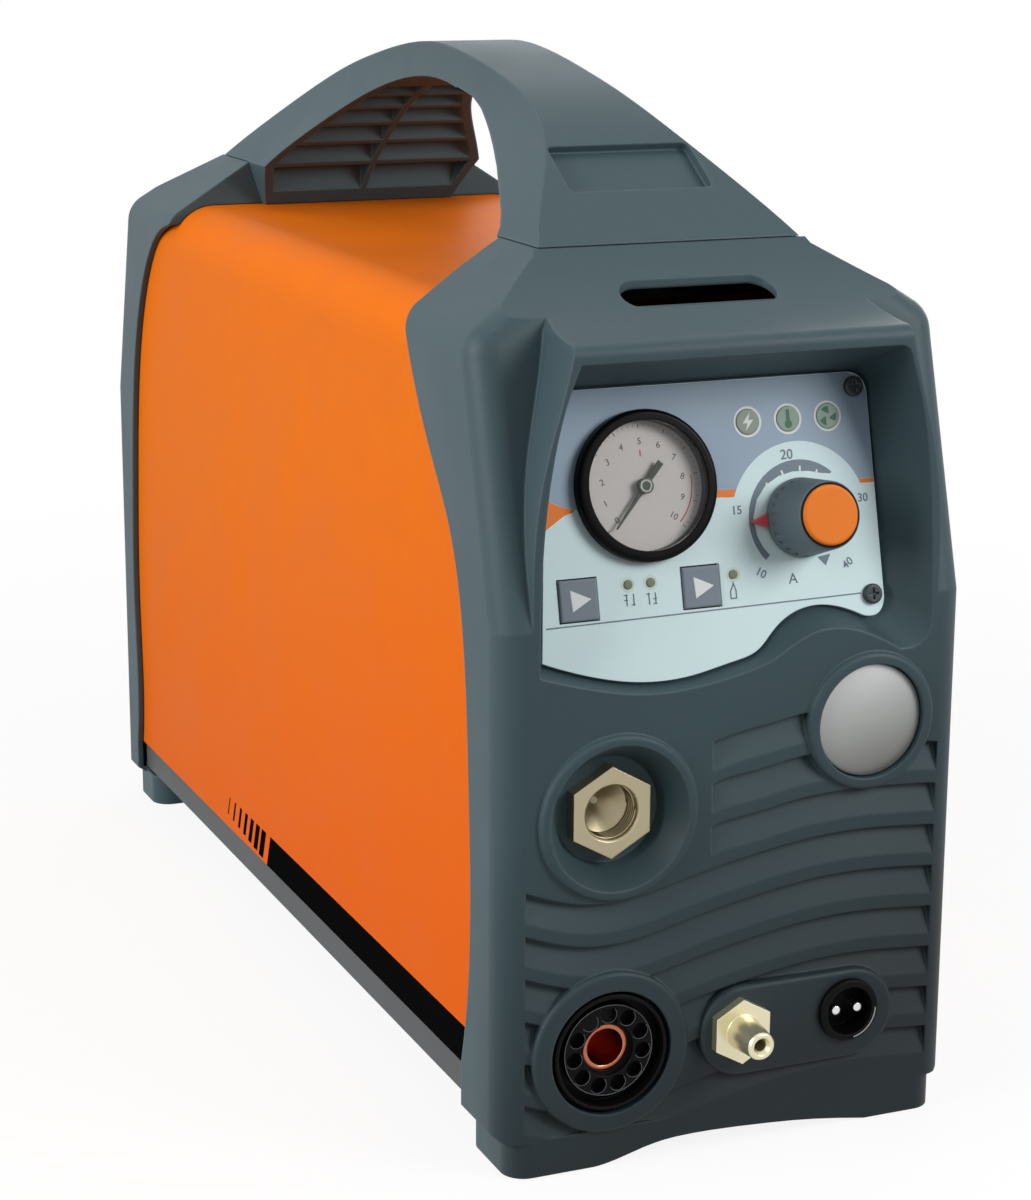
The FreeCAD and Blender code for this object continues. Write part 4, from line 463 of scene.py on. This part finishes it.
# The dial's red marks: an arc along the high pressures and a short stroke at
# the top, printed beside the dark ink.
dial_red = printed("red dial print", tone(196, 96, 96), 0.6, 0.000002)
high_arc = ink([arc(GAUGE_AT, 17.6, 8, -46, 27) + arc(GAUGE_AT, 17.2, -46, 8, 27)], *DIAL_PRINT)
x, up = GAUGE_AT
top_stroke = bar_between((x, up + 11.6), (x, up + 9.6), 0.5, *DIAL_PRINT)
settle("dial_red_print", [high_arc, top_stroke], PANEL_SEAT, dial_red, "case")

# The gauge's window: thin clear plastic, pressed into the cup, that bends the
# view very little and lets light through to the dial.
window_clear = bpy.data.materials.new("gauge window")
window_clear.use_nodes = True
tree = window_clear.node_tree
pane = tree.nodes["Principled BSDF"]
for label, value in (("Transmission Weight", 1.0), ("Roughness", 0.02), ("IOR", 1.03), ("Coat Weight", 0.5),
                     ("Coat IOR", 1.45), ("Coat Roughness", 0.03)):
    pane.inputs[label].default_value = value
clear = tree.nodes.new("ShaderNodeBsdfTransparent")
rays = tree.nodes.new("ShaderNodeLightPath")
through = tree.nodes.new("ShaderNodeMixShader")
tree.links.new(add_math(tree, "MAXIMUM", rays.outputs["Is Shadow Ray"], rays.outputs["Is Diffuse Ray"]),
               through.inputs["Fac"])
tree.links.new(pane.outputs["BSDF"], through.inputs[1])
tree.links.new(clear.outputs["BSDF"], through.inputs[2])
tree.links.new(through.outputs["Shader"], tree.nodes["Material Output"].inputs["Surface"])
dress(["gauge_lens"], window_clear)

# The gauge's needle: painted sheet on its spindle, with a small bright ring
# round the hub that turns with it.
needle_dark = finish("needle paint", tone(74, 80, 70), tone(90, 96, 84), 0.5, gloss=0.2)
dress(["gauge_needle"], needle_dark)
hub_ring = ink(ring(GAUGE_AT, 2.1, 1.5), 1.98, 2.06)
hub_grey = finish("needle hub ring", tone(150, 155, 145), tone(160, 165, 155), 0.35, metal=0.6)
settle("needle_hub_ring", [hub_ring], PANEL_SEAT, hub_grey, "needle")

# The current knob: a ribbed grey body on the potentiometer's shaft, an orange
# disc let into its front, painted shade in the joint round the disc and a red pointer at its foot.
knob_grey = finish("knob plastic", tone(98, 113, 120), tone(118, 131, 138), 0.5, gloss=0.25)
dress(["current_knob"], knob_grey)
cap_orange = finish("knob cap plastic", tone(252, 134, 46), tone(254, 150, 70), 0.4, depth=0.000004,
                    gloss=0.1, speckle=0.0)
dress(["knob_cap"], cap_orange)
pointer_red = finish("pointer red", tone(228, 92, 98), tone(236, 120, 124), 0.5, gloss=0.2, speckle=0.0)
dress(["knob_pointer"], pointer_red)
# A dark ring painted as the shade in the joint between the cap and the body.
joint_painted_shade = finish("painted shade in knob joint", tone(34, 38, 42), tone(34, 38, 42), 0.6, gloss=0.05, speckle=0.0)
joint_shade_ring = ink(ring(KNOB_AT, 10.65, 9.92, 60), 19.9, 20.1)
settle("knob_joint_painted_shade", [joint_shade_ring], PANEL_SEAT, joint_painted_shade, "knob")

# The two keys: grey caps that press into the plate, each with a pale triangle
# printed on it.
key_grey = finish("key plastic", tone(132, 143, 153), tone(150, 160, 168), 0.5, gloss=0.2)
dress(["mode_key", "air_test_key"], key_grey)
KEY_AT = {"mode": (-52.3, 34.4), "air_test": (-8.7, 34.9)}
for key_name, spot in KEY_AT.items():
    x, up = spot
    triangle = [(x - 2.9, up + 3.4), (x + 4.2, up + 0.1), (x - 2.5, up - 3.6)]
    settle(key_name + "_key_triangle", [ink([triangle], 0.88, 0.95)], PANEL_SEAT, white_print,
           key_name + "_button")

# Lamp windows: round green-grey lenses in the panel, each with its sign, and
# three small olive lamps beside the keys.
lamp_glow = finish("lamp window", tone(132, 158, 142), tone(160, 178, 164), 0.3, depth=0.000004, gloss=0.3,
                   speckle=0.0)
recolor(lamp_glow, lambda tree, color: mix_color(
    tree, carry(tree, along(tree, (1, 0, 0)), 0.016, 0.024, 1.0, 0.0), color, tone(140, 152, 140)))
dress(["panel_lamps", "lamp_leds"], lamp_glow)
pilot_olive = finish("small lamp", tone(122, 134, 104), tone(146, 156, 128), 0.3, depth=0.000004, gloss=0.3,
                     speckle=0.0)
dress(["pilot_lamps"], pilot_olive)

# The signs on the lamp windows, printed: a white bolt, a green thermometer
# and a green fan with three blades.
SIGN = (0.38, 0.46)
x, up = LAMP_AT[0]
bolt = [(x + 0.9, up + 3.0), (x - 2.0, up - 0.5), (x - 0.2, up - 0.4), (x - 1.0, up - 3.0),
        (x + 2.0, up + 0.6), (x + 0.2, up + 0.5)]
settle("supply_sign", [ink([bolt], *SIGN)], PANEL_SEAT, white_print, "case")
x, up = LAMP_AT[1]
sign_green = printed("green sign print", tone(56, 112, 84))
bulb = arc((x, up - 1.7), 1.35, 118, 422, 20) + arc((x, up + 2.6), 0.62, 0, 180, 8)
fins = []
for turn in (90, 210, 330):
    blade = arc(LAMP_AT[2], 0.9, turn - 30, turn + 10, 4) + arc(LAMP_AT[2], 3.2, turn + 48, turn - 6, 8)
    fins.append(ink([blade], *SIGN))
settle("heat_sign", [ink([bulb], *SIGN)] + fins, PANEL_SEAT, sign_green, "case")

# Haloes round the three small lamps: rings of pale ink on the plate, just
# outside each lens.
PILOT_LAMP_AT = ((-34.5, 37.9), (-26.5, 37.9), (3.1, 37.9))
halo_pale = printed("lamp halo print", tone(220, 236, 228))
haloes = [ink(ring(spot, 2.5, 1.52), 0.02, 0.05) for spot in PILOT_LAMP_AT]
settle("pilot_halo_print", haloes, PANEL_SEAT, halo_pale, "case")

# Screws with cross recesses: blackened steel in the case and the fan, and a
# cooler, blued steel in the panel.
screw_black = finish("blackened screws", tone(44, 47, 52), tone(84, 88, 92), 0.4, metal=0.3, gloss=0.3)
dress(["case_screws", "fan_screws"], screw_black)
panel_screw = finish("blued panel screws", tone(52, 58, 65), tone(96, 104, 112), 0.42, metal=0.1, gloss=0.3)
dress(["panel_screws"], panel_screw)

# The fittings at the rear, behind the panel and under the board: turned from
# brass bar and screwed in unplated.
brass = finish("pale turned brass", tone(176, 163, 132), tone(206, 194, 160), 0.34, grain=0.0004,
               depth=0.000005, soft_edge=0.0005, metal=1.0)
dress(["air_inlet", "front_lock_nuts", "gauge_movement", "gauge_stem", "board_standoffs"], brass)

# The torch outlet as it looks: a plain brass hexagon, bored and countersunk,
# whose round shank runs back through the face.
FRONT = -0.2275
OUTLET_AT = (-0.0427, 0.1206)
OUTLET_CORNER, OUTLET_BORE = 15.646, 9.3


def turned(spot, corners, radius, tip, front, back):
    """A round or many-sided bar along the depth; its tip's radius is in front, and all is in millimetres."""
    bpy.ops.object.select_all(action="DESELECT")
    bpy.ops.mesh.primitive_cone_add(vertices=corners, radius1=tip / 1000, radius2=radius / 1000,
                                    depth=(back - front) / 1000, rotation=(-math.pi / 2, 0, 0),
                                    location=(spot[0], FRONT + (front + back) / 2000, spot[1]))
    bpy.ops.object.transform_apply(location=True, rotation=True, scale=True)
    return bpy.context.object


def combine(piece, kind, other):
    """Add another mesh to a piece or cut it away, and use it up."""
    alone(piece)
    cut = piece.modifiers.new("cut", "BOOLEAN")
    cut.operation, cut.solver, cut.object = kind, "EXACT", other
    bpy.ops.object.modifier_apply(modifier="cut")
    bpy.data.objects.remove(other)


def machine(name, bar, steps, material, node):
    """Add and bore away bars, then let the finished piece stand for its CAD node."""
    for kind, other in steps:
        combine(bar, kind, other)
    bar.name = name
    bar.data.materials.clear()
    bar.data.materials.append(material)
    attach(bar, "case")
    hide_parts(node)


outlet_brass = finish("outlet brass", tone(178, 167, 138), tone(206, 196, 166), 0.36, grain=0.0004,
                      depth=0.000005, soft_edge=0.0005, metal=0.8)
machine("outlet_hexagon", turned(OUTLET_AT, 6, OUTLET_CORNER, OUTLET_CORNER, 5.0, 10.0),
        [("UNION", turned(OUTLET_AT, 64, 10.5, 10.5, 9.0, 32.0)),
         ("DIFFERENCE", turned(OUTLET_AT, 64, OUTLET_BORE, OUTLET_BORE, 4.0, 14.0)),
         ("DIFFERENCE", turned(OUTLET_AT, 64, 8.6, 10.7, 4.2, 6.2)),
         ("DIFFERENCE", turned(OUTLET_AT, 64, 1.2, OUTLET_BORE, 13.9, 20.0))], outlet_brass, "torch_outlet")

# The gas fitting as it looks: a brass hexagon with a straight barrel that
# narrows a little towards its bored tip, in a copy of the brass painted paler as painted highlight.
PILOT_AT = (0.0016, 0.0418)
PILOT_CORNER = 11.374
brass_painted_paler = finish("turned brass painted paler", tone(228, 220, 186), tone(242, 236, 210), 0.3, grain=0.0004,
                      depth=0.000004, soft_edge=0.0005, metal=0.85, gloss=0.5)
machine("pilot_barrel", turned(PILOT_AT, 6, PILOT_CORNER, PILOT_CORNER, -5.5, -2.0),
        [("UNION", turned(PILOT_AT, 64, 6.2, 4.8, -18.2, -5.0)),
         ("UNION", turned(PILOT_AT, 64, 4.8, 4.2, -19.0, -18.2)),
         ("UNION", turned(PILOT_AT, 64, 6.5, 6.5, -2.5, 22.0)),
         ("DIFFERENCE", turned(PILOT_AT, 48, 2.0, 2.0, -21.0, 24.0)),
         ("DIFFERENCE", turned(PILOT_AT, 48, 1.9, 3.2, -19.1, -17.4))], brass_painted_paler, "pilot_fitting")

# The thread in the torch outlet's bore, cut with a tap: a three-sided ridge
# wound along the wall.
THREAD_PITCH = 0.00125
THREAD_TURNS = 5
bpy.ops.object.select_all(action="DESELECT")
bpy.ops.mesh.primitive_circle_add(vertices=3, radius=0.0005, location=(0.0092, 0, 0),
                                  rotation=(math.pi / 2, 0, 0), fill_type="NOTHING")
thread = bpy.context.object
bpy.ops.object.transform_apply(location=True, rotation=True, scale=True)
winding = thread.modifiers.new("thread", "SCREW")
winding.angle = 2 * math.pi * THREAD_TURNS
winding.screw_offset = THREAD_PITCH * THREAD_TURNS
winding.steps = winding.render_steps = 40 * THREAD_TURNS
bpy.ops.object.modifier_apply(modifier="thread")
bpy.ops.object.mode_set(mode="EDIT")
bpy.ops.mesh.select_all(action="SELECT")
bpy.ops.mesh.fill_holes(sides=4)
bpy.ops.mesh.select_all(action="SELECT")
bpy.ops.mesh.normals_make_consistent(inside=False)
bpy.ops.object.mode_set(mode="OBJECT")
thread.data.transform(seat_on((OUTLET_AT[0], FRONT + 0.0134, OUTLET_AT[1]), (1, 0, 0), (0, 0, 1)))
thread.name = "outlet_thread"
thread.data.materials.append(brass)
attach(thread, "case")

# Black plastic parts: deep black for the two round sockets of the front, a
# little greyer for what sits at the rear and inside.
socket_black = finish("black socket plastic", tone(20, 20, 21), tone(52, 54, 56), 0.4, gloss=0.25)
deep_black = finish("deep black socket plastic", tone(9, 9, 10), tone(34, 35, 37), 0.45, gloss=0.08,
                    soft_edge=0.0005)
dress(["earth_socket", "trigger_socket"], deep_black)
dress(["mains_switch", "cable_gland", "gland_cap", "fan_frame", "fan_rotor", "key_switches", "solenoid_valve",
       "insulating_posts", "power_modules", "bus_capacitors"], socket_black)

# Painted highlight on the cable socket: pale rings round its insert and pale
# arcs on the lit side of each of its eleven pockets.
rim_painted_highlight = finish("painted socket rim highlight", tone(124, 128, 132), tone(124, 128, 132), 0.4, gloss=0.2, speckle=0.0)
EARTH_SEAT = seat_on((-0.0447, -0.2265, 0.0403), (1, 0, 0), (0, 0, 1))
POCKETS = 11
rims = [ink(ring((0, 0), 15.85, 15.6, 60), 0, 0.05)]
for pocket in range(POCKETS):
    spot = around((0, 0), 12.4, 90 + pocket * 360 / POCKETS)
    rims.append(ink([arc(spot, 2.95, -150, 40, 16) + arc(spot, 2.78, 40, -150, 16)], 0, 0.05))
settle("socket_rim_highlights", rims, EARTH_SEAT, rim_painted_highlight, "case")

# Painted highlight on the lower right of the trigger socket's rim: a pale arc
# along its edge.
TRIGGER_SEAT = seat_on((0.0427, FRONT - 0.0042, 0.0424), (1, 0, 0), (0, 0, 1))
rim_highlight_paint = finish("painted highlight on socket rim", tone(196, 198, 198), tone(196, 198, 198), 0.3, gloss=0.4,
                    speckle=0.0)
glint = ink([arc((0, 0), 9.95, -80, 0, 16) + arc((0, 0), 9.5, 0, -80, 16)], 0, 0.05)
settle("trigger_rim_painted_highlight", [glint], TRIGGER_SEAT, rim_highlight_paint, "case")

# The copper contact sleeve in the cable socket's bore, turned and pressed
# into the plastic.
contact_copper = finish("copper contact", tone(178, 104, 78), tone(214, 146, 118), 0.22, grain=0.0004,
                        depth=0.000004, metal=1.0)
dress(["earth_contact"], contact_copper)

# Bright parts of zinc plated steel: the trigger socket's pins, the fan guard,
# the potentiometer with its shaft and the nuts at the rear.
bright_zinc = finish("bright zinc", tone(222, 222, 220), tone(236, 236, 234), 0.24, metal=1.0)
dress(["trigger_pins", "fan_guard", "pot_shaft", "potentiometer", "rear_lock_nuts"], bright_zinc)

# The badge: a plain domed disc with a satin silver face, pressed into its ring,
# with painted shade that darkens it towards its lower right.
badge_silver = finish("satin silver", tone(196, 198, 197), tone(206, 208, 206), 0.4, grain=0.0004,
                      depth=0.000004, metal=0.35, gloss=0.4)
# Painted shade: the face darkens towards its lower right.
recolor(badge_silver, lambda tree, color: mix_color(
    tree, carry(tree, along(tree, (-0.35, 0, 1)), 0.108, 0.142, 1.0, 0.0), color, tone(126, 127, 124)))
dress(["badge"], badge_silver)

# The handle as it looks: the moulded grip and legs, with the front leg's inner
# edge cut back towards the front for a wider finger opening.
alone(nodes["handle"])
bpy.ops.object.duplicate()
open_handle = bpy.context.object
open_handle.name = "open_handle"
mend()
opening = [(91.6, 276.0), (92.0, 296.9), (93.5, 300.0), (100.0, 304.2), (108.8, 308.4), (116.0, 311.5),
           (127.0, 316.4), (138.4, 320.9), (154.6, 327.1), (170.0, 332.7), (182.8, 336.2), (200.0, 338.4),
           (200.0, 276.0)]
room = ink([[(depth + 1000 * FRONT, up) for depth, up in opening]], -60, 60)
room.data.transform(seat_on((0, 0, 0), (0, 1, 0), (0, 0, 1)))
combine(open_handle, "DIFFERENCE", room)
bpy.ops.mesh.customdata_custom_splitnormals_clear()
bpy.ops.object.shade_smooth_by_angle(angle=math.radians(20))
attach(open_handle, "case")
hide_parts("handle")

# The marks on the mains switch's rocker: the usual I and O, pad printed in
# white on its two slopes.
ROCKER_PIVOT = Vector((-0.04, 0.2117, 0.161))
LEAN = math.radians(8)
MARK_REACH = 0.007
rest_turn = Matrix.Translation(ROCKER_PIVOT) @ Matrix.Rotation(-LEAN, 4, "X")
for mark_name, way in (("on", 1), ("off", -1)):
    rise = math.tan(LEAN) * MARK_REACH
    slope_up = (0, way * math.sin(LEAN), math.cos(LEAN))
    seat = rest_turn @ seat_on((0, 0.0055 + rise, way * MARK_REACH), (-1, 0, 0), slope_up)
    if way > 0:
        shape = [bar_between((0, -2.2), (0, 2.2), 0.9, -0.2, 0.1)]
    else:
        shape = [ink(ring((0, 0), 2.6, 1.8), -0.2, 0.1)]
    settle("switch_" + mark_name + "_mark", shape, seat, white_print, "rocker")

# The works inside: extruded aluminium heatsinks, lacquered boards, ferrite
# cores, taped windings and the air line.
aluminium = finish("extruded aluminium", tone(186, 188, 190), tone(205, 206, 208), 0.4, metal=1.0)
dress(["heatsinks", "air_regulator"], aluminium)
board_green = finish("board lacquer", tone(30, 84, 50), tone(50, 104, 70), 0.3)
dress(["control_board", "power_board"], board_green)
ferrite = finish("ferrite", tone(44, 45, 48), tone(70, 72, 76), 0.6)
dress(["transformer_core", "output_choke"], ferrite)
winding_tape = finish("winding tape", tone(196, 160, 50), tone(210, 176, 72), 0.45)
dress(["transformer_winding"], winding_tape)
air_line = finish("air line", tone(40, 92, 160), tone(60, 112, 176), 0.3)
dress(["air_tube", "gauge_tube"], air_line)

# The floor and the light of a plain studio: a large soft lamp on the left,
# weaker ones at the front right, overhead and at the rear right, and pale
# surroundings.
FLOOR_SHADE = 0.12
OBJECT_MIDDLE = Vector((0, -0.1, 0.17))
SEEN = ("Is Camera Ray", "Is Glossy Ray", "Is Transmission Ray")


def seen_directly(tree):
    """1 for a ray that comes straight from the camera, or by way of metal or glass."""
    rays = tree.nodes.new("ShaderNodeLightPath")
    seen = rays.outputs[SEEN[0]]
    for label in SEEN[1:]:
        seen = add_math(tree, "MAXIMUM", seen, rays.outputs[label])
    return seen


bpy.ops.object.select_all(action="DESELECT")
bpy.ops.mesh.primitive_plane_add(size=30, location=(0, 0, -0.0005))
floor = bpy.context.object
floor.name = "floor"
floor_pale = bpy.data.materials.new("pale floor")
floor_pale.use_nodes = True
tree = floor_pale.node_tree
base = tree.nodes["Principled BSDF"]
base.inputs["Specular IOR Level"].default_value = 0.0
base.inputs["Roughness"].default_value = 1.0
base.inputs["Emission Color"].default_value = (1, 1, 1, 1)
seen = seen_directly(tree)
reach = tree.nodes.new("ShaderNodeVectorMath")
reach.operation = "LENGTH"
tree.links.new(tree.nodes.new("ShaderNodeTexCoord").outputs["Object"], reach.inputs[0])
away = carry(tree, reach.outputs["Value"], 0.35, 0.9, 0.0, 1.0)
shadow_share = carry(tree, away, 0.0, 1.0, FLOOR_SHADE, 0.0)
floor_grey = (FLOOR_SHADE, FLOOR_SHADE, FLOOR_SHADE, 1)
shown = mix_color(tree, away, floor_grey, (0, 0, 0, 1))
tree.links.new(mix_color(tree, seen, floor_grey, shown), base.inputs["Base Color"])
glow = add_math(tree, "SUBTRACT", 1.0, shadow_share)
tree.links.new(add_math(tree, "MULTIPLY", seen, glow), base.inputs["Emission Strength"])
floor.data.materials.append(floor_pale)

world = bpy.data.worlds.new("studio")
bpy.context.scene.world = world
world.use_nodes = True
tree = world.node_tree
sky = tree.nodes["Background"]
sky.inputs["Color"].default_value = (1, 1, 1, 1)
tree.links.new(carry(tree, seen_directly(tree), 0.0, 1.0, 0.26, 1.0), sky.inputs["Strength"])


def lamp(place, size, power):
    """A square softbox that faces the object's middle."""
    bpy.ops.object.light_add(type="AREA", location=place)
    light = bpy.context.object
    light.data.size = size
    light.data.energy = power
    light.rotation_euler = (OBJECT_MIDDLE - light.location).to_track_quat("-Z", "Y").to_euler()


lamp((-1.5, -0.25, 0.75), 1.0, 22)
lamp((0.52, -0.78, 0.6), 0.4, 4.5)
lamp((0.05, 0.05, 1.6), 0.9, 3)
lamp((0.9, 1.0, 0.4), 0.9, 6)

# The camera stands in front of the object, to its left and a little above,
# where the photograph was taken from.
bpy.ops.object.camera_add(location=(-0.41016, -1.01020, 0.41237),
                          rotation=(math.radians(75.7278), math.radians(-0.3032), math.radians(-22.8490)))
camera = bpy.context.object
camera.data.lens = 84.956
camera.data.clip_start = 0.01
bpy.context.scene.camera = camera
bpy.context.scene.view_settings.view_transform = "Standard"
